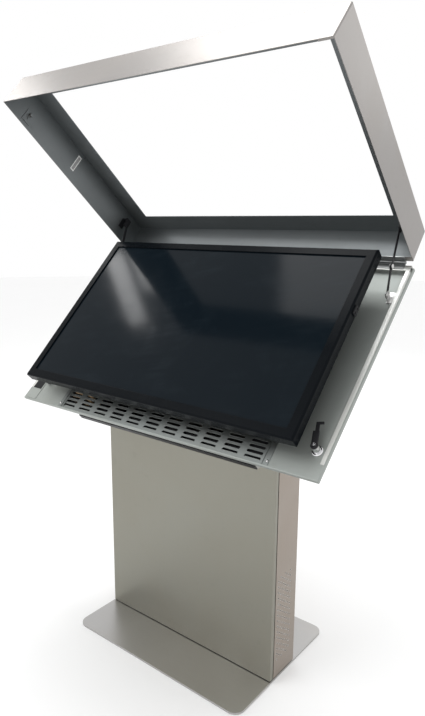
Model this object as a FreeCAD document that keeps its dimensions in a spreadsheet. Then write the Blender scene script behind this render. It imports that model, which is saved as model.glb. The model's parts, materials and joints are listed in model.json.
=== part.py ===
"""Touchscreen kiosk: a steel column on a floor plate carries a sloping deck with a display under a hinged lid.

Frames used below, all with +X to the right as seen from the front:
  world    origin at the centre of the floor plate's underside, +Y to the back, +Z up
  deck     origin on the deck's front top edge, +Y up the slope, +Z out of the deck
  display  origin on the display's lower front edge, +Y up the screen, +Z out of the screen
  lid      origin on the hinge axis, +Y away from the free end, +Z towards the lid's outer face
"""
import FreeCAD, Part
import math
import os
import re
import Sketcher
from FreeCAD import Placement, Rotation, Vector

SIZES = {
    # floor plate and column
    "base_width": 624, "base_depth": 453, "base_thick": 6, "base_corner": 30,
    "column_width": 623, "column_depth": 120, "column_setback": 154, "column_wall": 1.5,
    "column_gap": 2, "cover_flange": 13, "seam_gap": 3, "shell_return": 14, "cover_bend": 2.5,
    "vent_hole": 5, "vent_pitch_across": 12, "vent_pitch_up": 17, "vent_columns": 6, "vent_rows": 15,
    "vent_low": 62, "vent_inset": 29,
    # inner frame
    "upright_width": 40, "upright_depth": 30, "upright_wall": 2, "upright_spread": 255,
    "foot_width": 100, "foot_clear": 18, "foot_thick": 5, "bolt_fit": 0.2,
    "frame_bolt": 8, "frame_bolt_spread": 38, "frame_bolt_inset": 12, "bolt_head": 7.2, "bolt_head_rise": 5.2,
    "shelf_rise": 56, "shelf_clear": 24.5, "shelf_lip": 30, "shelf_thick": 2,
    # computer
    "computer_width": 260, "computer_clear": 2.5, "computer_rise": 200, "case_wall": 2, "case_chamfer": 3,
    "port_count": 5, "port_start": 20, "port_pitch": 26, "port_width": 16, "port_inset": 18, "port_depth": 24,
    "fan_slots": 9, "fan_slot_start": 30, "fan_slot_pitch": 14, "fan_slot_rise": 5, "fan_slot_inset": 8,
    # mains strip, inlet and its rocker
    "strip_width": 46, "strip_depth": 34, "strip_rise": 330, "strip_gap": 20, "strip_above": 30,
    "strip_round": 4, "socket_count": 5, "socket_first": 40, "socket_pitch": 62, "socket_radius": 18,
    "socket_depth": 4, "inlet_width": 48, "inlet_flange": 2.5, "inlet_rise": 60, "inlet_across": 200,
    "inlet_up": 20, "inlet_rim": 6, "inlet_deep": 24, "inlet_socket_width": 24, "inlet_socket_rise": 17,
    "inlet_socket_deep": 16, "inlet_socket_up": 9, "blade_thick": 2, "blade_long": 12, "blade_rise": 4,
    "blade_spread": 7, "blade_up": 13, "blade_step": 5,
    "rocker_width": 13, "rocker_rise": 19, "rocker_tilt": 6, "rocker_below": 8, "rocker_fit": 0.4,
    "rocker_axis": 4, "rocker_root": 4, "rocker_crest": 6.6, "rocker_valley": 4.6, "rocker_edge": 3.5,
    # housing between column and deck
    "housing_width": 644, "housing_start": 20, "housing_drop": 76, "housing_rear": 67,
    "housing_wall": 1.5, "edge_strip_rise": 16, "edge_strip_thick": 3, "pass_gap": 1, "lead_hole_depth": 50,
    "saddle_width": 60, "saddle_length": 120, "saddle_thick": 5,
    # deck
    "deck_width": 1040, "deck_length": 633, "deck_tilt": 42.49, "deck_wall": 2, "deck_lip": 10,
    "deck_round": 2.5, "deck_front": -239.5, "deck_rise": 710.4,
    "cable_hole_width": 360, "cable_hole_length": 150, "cable_hole_start": 211,
    "side_rail_width": 10, "side_rail_start": 40, "rim_clear": 0.7,
    "hinge_rail_depth": 18, "hinge_rail_rise": 11, "hinge_rail_wall": 1.5,
    "corner_cut_width": 32, "corner_cut_length": 27, "corner_cut_inset": 31, "corner_cut_up": 56,
    "doubler_width": 44, "doubler_length": 92, "doubler_thick": 1.2, "doubler_start": 4.5,
    "cap_fit": 0.3, "cap_over": 2, "cap_flange": 1, "cap_depth": 4,
    "clip_across": 30, "clip_width": 14, "clip_length": 12, "clip_thick": 2, "clip_wall": 3, "clip_rise": 9,
    # vent grille in the deck
    "grille_width": 744, "grille_length": 100, "grille_thick": 1.2, "grille_shift": 18,
    "grille_start": 4, "slot_columns": 11, "slot_rows": 6, "slot_pitch": 65.3, "row_pitch": 14.2,
    "slot_length": 46, "slot_width": 8.2, "slot_first": 13.4, "grille_rib": 6, "rib_inset": 12, "rib_step": 8,
    "screw_side": 5, "screw_end": 10, "screw_shank": 3.4, "screw_head": 7.2, "screw_head_rise": 1.8,
    "screw_long": 6, "screw_hole": 4, "screw_slot": 0.8,
    "duct_depth": 8, "duct_inset": 12, "duct_inset_along": 6, "duct_wall": 1, "duct_clear": 2,
    # cable loom
    "cable_diameter": 6, "cable_count": 4, "cable_pitch": 13, "cable_first": 17, "cable_inset": 28,
    "cable_run": 66, "cable_drop": 42, "cable_lift": 0.2,
    "entry_inset": 14, "entry_width": 14, "entry_start": 10, "entry_length": 54,
    "terminal_shift": 50, "terminal_width": 60, "terminal_length": 66, "terminal_rise": 20,
    # display
    "display_side": 52, "display_start": 41, "display_rear": 44, "display_lift": 80,
    "display_tilt": 3, "bezel_depth": 30, "bezel_front": 4, "bezel_side": 3, "bezel_border": 25,
    "bezel_chamfer": 4, "glass_thick": 3, "glass_under": 8, "panel_thick": 12, "panel_clear": 2,
    "rear_inset": 6, "rear_depth": 30, "rear_wall": 2, "rear_chamfer": 14,
    "mount_spacing": 400, "mount_bolt": 6, "mount_head": 5.1, "mount_head_rise": 4, "mount_thread": 6,
    "rail_width": 36, "rail_wall": 2, "rail_before": 8, "rail_length": 440,
    "control_up": 352, "control_length": 26, "control_reach": 5, "control_low": 24, "control_chamfer": 2,
    "button_diameter": 6, "button_end": 7, "button_travel": 1.5, "button_fit": 0.3,
    # lid
    "lid_over": 2, "lid_depth": 102.5, "lid_wall": 1.5, "lid_bend": 3, "lid_fold": 2.5,
    "lid_border_side": 70.7, "lid_border_front": 65.2, "lid_border_rear": 61.2, "lid_return": 15,
    "lid_open": 42.07, "rim_rest": 1,
    "label_along": 361, "label_low": 31, "label_width": 15, "label_rise": 56, "label_thick": 0.3,
    "striker_ahead": 14, "striker_width": 32, "striker_low": 12, "striker_rise": 38, "striker_thick": 2,
    "striker_slot": 9, "striker_slot_shift": 5, "striker_slot_up": 24,
    "stud_up": 39, "stud_diameter": 11, "stud_reach": 12,
    "keeper_width": 36, "keeper_reach": 17, "keeper_rise": 40, "keeper_thick": 2, "keeper_below": 3,
    # hinge
    "hinge_over": 5, "hinge_rise": 13, "hinge_back": 4.5, "hinge_pin": 4, "hinge_knuckle": 8,
    "hinge_leaf": 1.5, "hinge_fit": 0.05, "hinge_knuckles": 13, "hinge_leaf_reach": 17,
    "knuckle_gap": 0.4, "leaf_gap": 0.5, "hinge_inset": 20,
    # lid stays: heights over the deck, and places measured from the deck's rear edge
    "stay_inset": 33.3, "stay_thick": 2, "stay_gap": 0.5, "stay_width": 10, "stay_eye": 16,
    "foot_back": 108, "foot_up": 10, "knee_back": 49, "knee_up": 53, "head_over": 41.6, "head_up": 101.2,
    "stay_pin": 5, "stay_rivet": 12, "stay_rivet_rise": 1.6, "stay_fit": 0.05, "head_gap": 0.1,
    "ear_width": 18, "ear_over": 9, "bracket_foot": 17, "bracket_length": 36,
    "head_bracket_width": 20, "head_bracket_rise": 32, "head_bracket_web": 20,
    # lock in the right front corner of the deck
    "lock_inset": 30, "lock_up": 68, "lock_barrel": 18, "lock_bore": 12, "lock_rise": 24,
    "lock_fit": 0.05, "lock_flange": 24, "lock_flange_thick": 3, "lock_nut": 27, "lock_nut_rise": 5,
    "lock_nut_bevel": 1.5, "key_width": 8, "key_thick": 1.6, "key_depth": 6, "plug_proud": 0.5,
    "cam_length": 60, "cam_width": 15, "cam_neck": 9, "cam_thick": 3, "cam_rest": 106, "cam_root": 9,
    "cam_wide": 37.2, "cam_narrow": 33, "cam_edge": 1, "cam_tip": 6.3, "cam_hook": 9,
    "cam_screw": 9, "cam_screw_rise": 4, "cam_screw_slot": 1.2, "cam_screw_slot_deep": 1.4,
}

doc = FreeCAD.newDocument("touchscreen_kiosk")
sheet = doc.addObject("Spreadsheet::Sheet", "Sizes")
for row, (alias, number) in enumerate(SIZES.items(), start=1):
    sheet.set(f"A{row}", alias)
    sheet.set(f"B{row}", str(number))
    sheet.setAlias(f"B{row}", alias)
doc.recompute()

parts = []

# ---------------------------------------------------------------- expressions

ALIAS = re.compile(r"\b(" + "|".join(sorted(SIZES, key=len, reverse=True)) + r")\b")


def size(alias):
    """The number that the sheet holds under this alias."""
    return float(sheet.get(alias))


def bind(item, prop, text):
    """Tie a property to an expression over the sheet's aliases."""
    item.setExpression(prop, ALIAS.sub(r"Sizes.\1", str(text)))


def deck_y(along, out):
    """World y of a point given in the deck frame."""
    return f"(deck_front + cos(deck_tilt) * ({along}) - sin(deck_tilt) * ({out}))"


def deck_z(along, out):
    """World z of a point given in the deck frame."""
    return f"(deck_rise + sin(deck_tilt) * ({along}) + cos(deck_tilt) * ({out}))"


COLUMN_FRONT = "(column_setback - base_depth / 2)"
COLUMN_MIDDLE = f"({COLUMN_FRONT} + column_depth / 2)"
COLUMN_REAR = f"({COLUMN_FRONT} + column_depth)"
HOUSING_FLOOR = deck_z("housing_start", "-housing_drop")
COLUMN_START = "(base_thick + column_gap)"
COLUMN_RISE = f"({HOUSING_FLOOR} - base_thick - 2 * column_gap)"
HINGE_ALONG = "(deck_length + hinge_over)"
HINGE_WIDTH = "(deck_width - 2 * hinge_inset)"
DISPLAY_WIDTH = "(deck_width - 2 * display_side)"
DISPLAY_HEIGHT = "(deck_length - display_start - display_rear)"
LID_LENGTH = "(deck_length + lid_over)"
LOCK_ACROSS = "(deck_width / 2 - lock_inset)"
CORNER_ACROSS = "(deck_width / 2 - corner_cut_inset)"
FOOT_DEPTH = "(column_depth - 2 * foot_clear)"
SHELF_DEPTH = "(column_depth - 2 * shelf_clear)"
RIM_SLOPE = f"((hinge_rise - rim_rest) / {HINGE_ALONG})"


def side_low(side, inner, width):
    """Low x of a block that starts `inner` away from the middle, on the side +1 or -1."""
    if side > 0:
        return f"({inner})"
    return f"(-({inner}) - ({width}))"


# ---------------------------------------------------------------- building blocks


def box(low, extent, name="block"):
    """A block from its low corner and its three sizes."""
    item = doc.addObject("Part::Box", name)
    for prop, text in zip(("Length", "Width", "Height"), extent):
        bind(item, prop, text)
    for axis, text in zip("xyz", low):
        bind(item, f"Placement.Base.{axis}", text)
    return item


TURNS = {
    "x": Rotation(Vector(0, 1, 0), 90),
    "y": Rotation(Vector(1, 0, 0), -90),
    "z": Rotation(),
}


def rod(axis, start, radius, length, name="rod"):
    """A cylinder that runs from `start` along +x, +y or +z."""
    item = doc.addObject("Part::Cylinder", name)
    item.Placement = Placement(Vector(), TURNS[axis])
    bind(item, "Radius", radius)
    bind(item, "Height", length)
    for letter, text in zip("xyz", start):
        bind(item, f"Placement.Base.{letter}", text)
    return item


def join(items, name="joined"):
    """One solid from several that touch or overlap."""
    item = doc.addObject("Part::MultiFuse", name)
    item.Shapes = items
    item.Refine = True
    return item


def group(items, name="group"):
    """Separate solids that share one node."""
    item = doc.addObject("Part::Compound", name)
    item.Links = items
    return item


def cut(base, tools, name="trimmed"):
    """A solid less the others."""
    item = doc.addObject("Part::Cut", name)
    item.Base = base
    item.Tool = tools[0] if len(tools) == 1 else group(tools)
    return item


def origin_plane(body, role):
    """One of a body's own origin planes or axes."""
    return [feature for feature in body.Origin.OriginFeatures if feature.Role == role][0]


def sketch_polygon(body, plane, points, offset="0 * 1"):
    """A closed outline whose corners are dimensioned from the origin."""
    sketch = body.newObject("Sketcher::SketchObject", "outline")
    sketch.AttachmentSupport = [(origin_plane(body, plane), "")]
    sketch.MapMode = "FlatFace"
    bind(sketch, "AttachmentOffset.Base.z", offset)
    count = len(points)
    ring = [Vector(math.cos(math.tau * k / count), math.sin(math.tau * k / count), 0) for k in range(count)]
    for k in range(count):
        sketch.addGeometry(Part.LineSegment(100 * ring[k], 100 * ring[(k + 1) % count]), False)
    for k in range(count):
        sketch.addConstraint(Sketcher.Constraint("Coincident", k, 2, (k + 1) % count, 1))
    for k, point in enumerate(points):
        for kind, text in zip(("DistanceX", "DistanceY"), point):
            number = sketch.addConstraint(Sketcher.Constraint(kind, -1, 1, k, 1, 1.0))
            bind(sketch, f"Constraints[{number}]", text)
    return sketch


def prism(plane, points, offset, length, name="prism"):
    """An outline on XY_Plane or YZ_Plane, padded along that plane's normal."""
    body = doc.addObject("PartDesign::Body", name)
    pad = body.newObject("PartDesign::Pad", "pad")
    pad.Profile = sketch_polygon(body, plane, points, offset)
    bind(pad, "Length", length)
    return body


def rectangle(low_x, low_y, wide, high):
    """The four corners of a rectangle, as expressions."""
    right = f"({low_x}) + ({wide})"
    top = f"({low_y}) + ({high})"
    return [(low_x, low_y), (right, low_y), (right, top), (low_x, top)]


def block_body(low, extent, name="body"):
    """A padded rectangle, for blocks whose edges are then rounded or chamfered."""
    outline = rectangle(low[0], low[1], extent[0], extent[1])
    return prism("XY_Plane", outline, low[2], extent[2], name)


def edge_names(shape, test):
    """Names of the straight edges for which test(middle, direction, box) holds."""
    names = []
    for number, edge in enumerate(shape.Edges, start=1):
        if not isinstance(edge.Curve, Part.Line):
            continue
        middle = edge.valueAt((edge.FirstParameter + edge.LastParameter) / 2)
        direction = edge.tangentAt(edge.FirstParameter)
        if test(middle, direction, shape.BoundBox):
            names.append(f"Edge{number}")
    return names


def dress(body, kind, measure, test):
    """Round (Fillet) or bevel (Chamfer) the edges that the test picks."""
    doc.recompute()
    base = body.Tip
    feature = body.newObject(f"PartDesign::{kind}", kind.lower())
    feature.Base = (base, edge_names(base.Shape, test))
    bind(feature, "Radius" if kind == "Fillet" else "Size", measure)
    doc.recompute()
    return body


def upright_edge(middle, direction, bounds):
    return abs(direction.z) > 0.99


def top_edge(middle, direction, bounds):
    return abs(middle.z - bounds.ZMax) < 0.01


def bottom_edge(middle, direction, bounds):
    return abs(middle.z - bounds.ZMin) < 0.01


def front_upright_edge(middle, direction, bounds):
    return abs(direction.z) > 0.99 and abs(middle.y - bounds.YMin) < 0.01


def long_top_edge(middle, direction, bounds):
    return abs(direction.y) > 0.9 and middle.z > bounds.ZMin + 0.5


# ---------------------------------------------------------------- frames


def place(item, along, out, turn="0 deg"):
    """Move an item built at the origin to a point of the deck frame, turned about X."""
    x = item.Placement.Base.x
    item.Placement = Placement(Vector(x, 0, 0), Rotation(Vector(1, 0, 0), 1))
    bind(item, "Placement.Base.y", deck_y(along, out))
    bind(item, "Placement.Base.z", deck_z(along, out))
    bind(item, "Placement.Rotation.Angle", f"deck_tilt * 1 deg + {turn}")
    return item


def deck_box(low, extent, name="block"):
    """A block given in the deck frame and placed in the world."""
    item = doc.addObject("Part::Box", name)
    for prop, text in zip(("Length", "Width", "Height"), extent):
        bind(item, prop, text)
    place(item, low[1], low[2])
    bind(item, "Placement.Base.x", low[0])
    return item


def in_world(item):
    return item


def in_deck(item):
    return place(item, "0", "0")


def in_display(item):
    return place(item, "display_start", "display_lift", "display_tilt * 1 deg")


def in_lid(item):
    """The lid stands open, turned back about -X from the level."""
    item.Placement = Placement(Vector(), Rotation(Vector(-1, 0, 0), 1))
    bind(item, "Placement.Base.y", deck_y(HINGE_ALONG, "hinge_rise"))
    bind(item, "Placement.Base.z", deck_z(HINGE_ALONG, "hinge_rise"))
    bind(item, "Placement.Rotation.Angle", "lid_open")
    return item


def keep(label, item, frame=in_world):
    """Give a finished sub-part its name and its place."""
    item.Label = label
    frame(item)
    parts.append(item)
    return item


# ---------------------------------------------------------------- floor plate and column


def bolt_places():
    """World x and y of the bolts that hold the frame's feet to the floor plate."""
    return [
        (
            f"({side} * upright_spread + {a} * frame_bolt_spread)",
            f"({COLUMN_MIDDLE} + {b} * ({FOOT_DEPTH} / 2 - frame_bolt_inset))",
        )
        for side in (-1, 1)
        for a in (-1, 1)
        for b in (-1, 1)
    ]


def base_plate():
    low = ("-base_width / 2", "-base_depth / 2", "0 * 1")
    block = block_body(low, ("base_width", "base_depth", "base_thick"))
    dress(block, "Fillet", "base_corner", upright_edge)
    holes = [rod("z", (x, y, "-1"), "frame_bolt / 2 + bolt_fit", "base_thick + 2") for x, y in bolt_places()]
    keep("base_plate", cut(block, holes))


def column_frame():
    solids = []
    for side in (-1, 1):
        low_x = f"({side} * upright_spread - upright_width / 2)"
        low_y = f"({COLUMN_MIDDLE} - upright_depth / 2)"
        rise = deck_z("deck_length", "0")
        outer = box((low_x, low_y, "base_thick"), ("upright_width", "upright_depth", rise))
        inner = box(
            (f"{low_x} + upright_wall", f"{low_y} + upright_wall", "base_thick"),
            ("upright_width - 2 * upright_wall", "upright_depth - 2 * upright_wall", rise),
        )
        above = deck_box(
            ("-deck_width / 2", "-deck_length", "-deck_wall - saddle_thick"),
            ("deck_width", "3 * deck_length", "2 * deck_length"),
        )
        foot = box(
            (f"{side} * upright_spread - foot_width / 2", f"{COLUMN_MIDDLE} - {FOOT_DEPTH} / 2", "base_thick"),
            ("foot_width", FOOT_DEPTH, "foot_thick"),
        )
        solids.append(join([cut(outer, [inner, above]), foot]))
    through = "base_thick + 2 * foot_thick"
    holes = [rod("z", (x, y, "0"), "frame_bolt / 2 + bolt_fit", through) for x, y in bolt_places()]
    keep("column_frame", cut(group(solids), holes))


def frame_bolts():
    bolts = []
    for x, y in bolt_places():
        shank = rod("z", (x, y, "0"), "frame_bolt / 2", "base_thick + foot_thick")
        head = doc.addObject("Part::Prism", "head")
        head.Polygon = 6
        bind(head, "Circumradius", "bolt_head")
        bind(head, "Height", "bolt_head_rise")
        bind(head, "Placement.Base.x", x)
        bind(head, "Placement.Base.y", y)
        bind(head, "Placement.Base.z", "base_thick + foot_thick")
        bolts.append(join([shank, head]))
    keep("frame_bolts", group(bolts))


def front_cover():
    low = ("-column_width / 2", COLUMN_FRONT, COLUMN_START)
    outer = block_body(low, ("column_width", "cover_flange", COLUMN_RISE))
    dress(outer, "Fillet", "cover_bend", front_upright_edge)
    inner = box(
        ("-column_width / 2 + column_wall", f"{COLUMN_FRONT} + column_wall", "0"),
        ("column_width - 2 * column_wall", "column_depth", f"2 * {COLUMN_RISE}"),
    )
    keep("front_cover", cut(outer, [inner]))


def vent_holes():
    """Staggered round holes through both side walls."""
    holes = []
    for row in range(int(size("vent_rows"))):
        for column in range(int(size("vent_columns"))):
            y = f"{COLUMN_FRONT} + vent_inset + {column} * vent_pitch_across"
            z = f"vent_low + {row + (column % 2) / 2} * vent_pitch_up"
            holes.append(rod("x", ("-base_width", y, z), "vent_hole / 2", "2 * base_width"))
    return holes


def column_shell():
    start = f"({COLUMN_FRONT} + cover_flange + seam_gap)"
    deep = "(column_depth - cover_flange - seam_gap)"
    outer = box(("-column_width / 2", start, COLUMN_START), ("column_width", deep, COLUMN_RISE))
    inner = box(
        ("-column_width / 2 + column_wall", f"{start} + column_wall", "0"),
        ("column_width - 2 * column_wall", f"{deep} - 2 * column_wall", f"2 * {COLUMN_RISE}"),
    )
    opening = box(
        ("-column_width / 2 + shell_return", f"{start} - 1", "0"),
        ("column_width - 2 * shell_return", "column_wall + 2", f"2 * {COLUMN_RISE}"),
    )
    inlet = box(
        (
            "inlet_across - inlet_width / 2 + inlet_rim - pass_gap",
            f"{COLUMN_REAR} - column_wall - 1",
            f"{COLUMN_START} + inlet_up + inlet_rim - pass_gap",
        ),
        ("inlet_width - 2 * inlet_rim + 2 * pass_gap", "column_wall + 2", "inlet_rise - 2 * inlet_rim + 2 * pass_gap"),
    )
    keep("column_shell", cut(outer, [inner, opening, inlet] + vent_holes()))


SHELF_TOP = "(base_thick + shelf_rise)"
SHELF_HALF = "(upright_spread - upright_width / 2)"
SHELF_LOW_Y = f"({COLUMN_MIDDLE} - {SHELF_DEPTH} / 2)"


def equipment_shelf():
    floor = box(
        (f"-{SHELF_HALF}", SHELF_LOW_Y, f"{SHELF_TOP} - shelf_thick"),
        (f"2 * {SHELF_HALF}", SHELF_DEPTH, "shelf_thick"),
    )
    lip = box(
        (f"-{SHELF_HALF}", f"{SHELF_LOW_Y} + {SHELF_DEPTH} - shelf_thick", f"{SHELF_TOP} - shelf_thick"),
        (f"2 * {SHELF_HALF}", "shelf_thick", "shelf_lip"),
    )
    keep("equipment_shelf", join([floor, lip]))


def computer():
    """A flat case with ports on top and fan slots in its right side."""
    deep = f"({SHELF_DEPTH} - 2 * computer_clear)"
    low_y = f"({COLUMN_MIDDLE} - {deep} / 2)"
    case = block_body(("-computer_width / 2", low_y, SHELF_TOP), ("computer_width", deep, "computer_rise"))
    dress(case, "Chamfer", "case_chamfer", upright_edge)
    port_z = f"{SHELF_TOP} + computer_rise - case_wall - 1"
    ports = [
        box(
            (f"-computer_width / 2 + port_start + {k} * port_pitch", f"{low_y} + port_inset", port_z),
            ("port_width", "port_depth", "case_wall + 2"),
        )
        for k in range(int(size("port_count")))
    ]
    slots = [
        box(
            (
                "computer_width / 2 - 2 * case_wall",
                f"{low_y} + fan_slot_inset",
                f"{SHELF_TOP} + fan_slot_start + {k} * fan_slot_pitch",
            ),
            ("4 * case_wall", f"{deep} - 2 * fan_slot_inset", "fan_slot_rise"),
        )
        for k in range(int(size("fan_slots")))
    ]
    hollow = box(
        ("-computer_width / 2 + case_wall", f"{low_y} + case_wall", f"{SHELF_TOP} - 1"),
        ("computer_width - 2 * case_wall", f"{deep} - 2 * case_wall", "computer_rise + 1 - case_wall"),
    )
    keep("computer", cut(case, [hollow] + ports + slots))


def power_strip():
    low_x = "(-upright_spread + upright_width / 2 + strip_gap)"
    front = f"({COLUMN_REAR} - column_wall - strip_depth)"
    low_z = f"({SHELF_TOP} + computer_rise + strip_above)"
    case = block_body((low_x, front, low_z), ("strip_width", "strip_depth", "strip_rise"))
    dress(case, "Fillet", "strip_round", front_upright_edge)
    sockets = [
        rod(
            "y",
            (f"{low_x} + strip_width / 2", f"{front} - 1", f"{low_z} + socket_first + {k} * socket_pitch"),
            "socket_radius",
            "socket_depth",
        )
        for k in range(int(size("socket_count")))
    ]
    keep("power_strip", cut(case, sockets))


INLET_LOW_Z = f"({COLUMN_START} + inlet_up)"


def rocker_low():
    """Low corner of the rocker's opening in the inlet."""
    return (
        "inlet_across - rocker_width / 2",
        f"{COLUMN_REAR} - inlet_deep / 2",
        f"{INLET_LOW_Z} + inlet_rise - rocker_below - rocker_rise",
    )


def power_inlet():
    """A flanged inlet with three blades in its socket and an opening for the rocker."""
    flange = box(
        ("inlet_across - inlet_width / 2", COLUMN_REAR, INLET_LOW_Z),
        ("inlet_width", "inlet_flange", "inlet_rise"),
    )
    shell = box(
        (
            "inlet_across - inlet_width / 2 + inlet_rim",
            f"{COLUMN_REAR} - inlet_deep",
            f"{INLET_LOW_Z} + inlet_rim",
        ),
        ("inlet_width - 2 * inlet_rim", "inlet_deep", "inlet_rise - 2 * inlet_rim"),
    )
    socket = box(
        (
            "inlet_across - inlet_socket_width / 2",
            f"{COLUMN_REAR} - inlet_socket_deep",
            f"{INLET_LOW_Z} + inlet_socket_up",
        ),
        ("inlet_socket_width", "inlet_socket_deep + 2 * inlet_flange", "inlet_socket_rise"),
    )
    x, y, z = rocker_low()
    opening = box(
        (f"{x} - rocker_fit", y, f"{z} - rocker_fit"),
        ("rocker_width + 2 * rocker_fit", "inlet_deep", "rocker_rise + 2 * rocker_fit"),
    )
    blades = [
        box(
            (
                f"inlet_across + {side} * blade_spread - blade_thick / 2",
                f"{COLUMN_REAR} - inlet_socket_deep - blade_thick",
                f"{INLET_LOW_Z} + blade_up + {raised} * blade_step",
            ),
            ("blade_thick", "blade_long", "blade_rise"),
        )
        for side, raised in ((-1, 0), (0, 1), (1, 0))
    ]
    keep("power_inlet", join([cut(join([flange, shell]), [socket, opening])] + blades))


def inlet_rocker():
    """The rocker is built about its own axis, then tilted to its off position."""
    outline = [
        ("-rocker_root", "-rocker_root"),
        ("rocker_edge", "-rocker_rise / 2 + rocker_fit"),
        ("rocker_crest", "-rocker_rise / 2 + 3 * rocker_fit"),
        ("rocker_valley", "0 * 1"),
        ("rocker_crest", "rocker_rise / 2 - 3 * rocker_fit"),
        ("rocker_edge", "rocker_rise / 2 - rocker_fit"),
        ("-rocker_root", "rocker_root"),
    ]
    x, _, z = rocker_low()
    rocker = prism("YZ_Plane", outline, f"{x} + rocker_fit", "rocker_width - 2 * rocker_fit")
    keep("inlet_rocker", rocker)
    rocker.Placement = Placement(Vector(), Rotation(Vector(1, 0, 0), 1))
    bind(rocker, "Placement.Base.y", f"{COLUMN_REAR} + inlet_flange - rocker_axis")
    bind(rocker, "Placement.Base.z", f"{z} + rocker_rise / 2")
    bind(rocker, "Placement.Rotation.Angle", "rocker_tilt")


# ---------------------------------------------------------------- housing under the deck

DUCT_LOW = (
    "(grille_shift - grille_width / 2 + duct_inset)",
    "(grille_start + duct_inset_along)",
    "(-deck_wall - duct_depth)",
)
DUCT_EXTENT = ("(grille_width - 2 * duct_inset)", "(grille_length - 2 * duct_inset_along)", "duct_depth")


def housing():
    top_rear = "(deck_rise + tan(deck_tilt) * (housing_rear - deck_front) - deck_wall / cos(deck_tilt))"
    outline = [
        (deck_y("housing_start", "-housing_drop"), HOUSING_FLOOR),
        ("housing_rear", HOUSING_FLOOR),
        ("housing_rear", top_rear),
        (deck_y("housing_start", "-deck_wall"), deck_z("housing_start", "-deck_wall")),
    ]
    inner_front = deck_y("housing_start + housing_wall", "-housing_drop + 2 * housing_wall")
    inside = [
        (inner_front, f"{HOUSING_FLOOR} + housing_wall"),
        ("housing_rear - housing_wall", f"{HOUSING_FLOOR} + housing_wall"),
        ("housing_rear - housing_wall", f"{top_rear} + deck_lip"),
        (deck_y("housing_start + housing_wall", "deck_lip"), deck_z("housing_start + housing_wall", "deck_lip")),
    ]
    outer = prism("YZ_Plane", outline, "-housing_width / 2", "housing_width")
    inner = prism("YZ_Plane", inside, "-housing_width / 2 + housing_wall", "housing_width - 2 * housing_wall")
    duct = deck_box(
        [f"{low} - pass_gap" for low in DUCT_LOW],
        [f"{extent} + 2 * pass_gap" for extent in DUCT_EXTENT],
    )
    passages = [
        box(
            (
                f"{side} * upright_spread - upright_width / 2 - pass_gap",
                f"{COLUMN_MIDDLE} - upright_depth / 2 - pass_gap",
                f"{HOUSING_FLOOR} - 1",
            ),
            ("upright_width + 2 * pass_gap", "upright_depth + 2 * pass_gap", "housing_wall + 2"),
        )
        for side in (-1, 1)
    ]
    leads = box(
        ("-cable_hole_width / 4", f"{COLUMN_MIDDLE} - lead_hole_depth / 2", f"{HOUSING_FLOOR} - 1"),
        ("cable_hole_width / 2", "lead_hole_depth", "housing_wall + 2"),
    )
    keep("housing", cut(outer, [inner, duct, leads] + passages))


def housing_edge_strip():
    face = deck_box(
        ("-housing_width / 2", "housing_start - edge_strip_thick", "-housing_drop"),
        ("housing_width", "edge_strip_thick", "edge_strip_rise"),
    )
    keep("housing_edge_strip", group([face]))


def deck_saddles():
    middle = f"(({COLUMN_MIDDLE} - deck_front) / cos(deck_tilt))"
    plates = [
        box(
            (f"{side} * upright_spread - saddle_width / 2", f"{middle} - saddle_length / 2", "-deck_wall - saddle_thick"),
            ("saddle_width", "saddle_length", "saddle_thick"),
        )
        for side in (-1, 1)
    ]
    keep("deck_saddles", group(plates), in_deck)


# ---------------------------------------------------------------- deck


def screw_places():
    """Deck x and y of the grille's screws."""
    return [
        (
            f"(grille_shift + {a} * (grille_width / 2 - screw_side))",
            f"(grille_start + grille_length / 2 + {b} * (grille_length / 2 - screw_end))",
        )
        for a in (-1, 1)
        for b in (-1, 1)
    ]


def corner_cut(low_z, rise):
    """The square opening in the left front corner."""
    return box(
        (f"-{CORNER_ACROSS} - corner_cut_width / 2", "corner_cut_up - corner_cut_length / 2", low_z),
        ("corner_cut_width", "corner_cut_length", rise),
    )


def deck_plate():
    outer = block_body(("-deck_width / 2", "0 * 1", "-deck_lip"), ("deck_width", "deck_length", "deck_lip"))
    dress(outer, "Fillet", "deck_round", top_edge)
    inner = box(
        ("-deck_width / 2 + deck_wall", "deck_wall", "-2 * deck_lip"),
        ("deck_width - 2 * deck_wall", "deck_length - 2 * deck_wall", "2 * deck_lip - deck_wall"),
    )
    duct = box(
        (f"{DUCT_LOW[0]} + duct_clear", f"{DUCT_LOW[1]} + duct_clear", "-deck_lip"),
        (f"{DUCT_EXTENT[0]} - 2 * duct_clear", f"{DUCT_EXTENT[1]} - 2 * duct_clear", "2 * deck_lip"),
    )
    cables = box(
        ("-cable_hole_width / 2", "cable_hole_start", "-deck_lip"),
        ("cable_hole_width", "cable_hole_length", "2 * deck_lip"),
    )
    lock = rod("z", (LOCK_ACROSS, "lock_up", "-deck_lip"), "lock_barrel / 2 + bolt_fit", "2 * deck_lip")
    corner = corner_cut("-deck_lip", "2 * deck_lip")
    screws = [rod("z", (x, y, "-deck_lip"), "screw_hole / 2", "2 * deck_lip") for x, y in screw_places()]
    keep("deck_plate", cut(outer, [inner, duct, cables, lock, corner] + screws), in_deck)


def corner_doubler():
    plate = box(
        ("-deck_width / 2 + deck_round + side_rail_width", "doubler_start", "0"),
        ("doubler_width - deck_round", "doubler_length", "doubler_thick"),
    )
    keep("corner_doubler", cut(plate, [corner_cut("-1", "deck_lip")]), in_deck)


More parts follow.
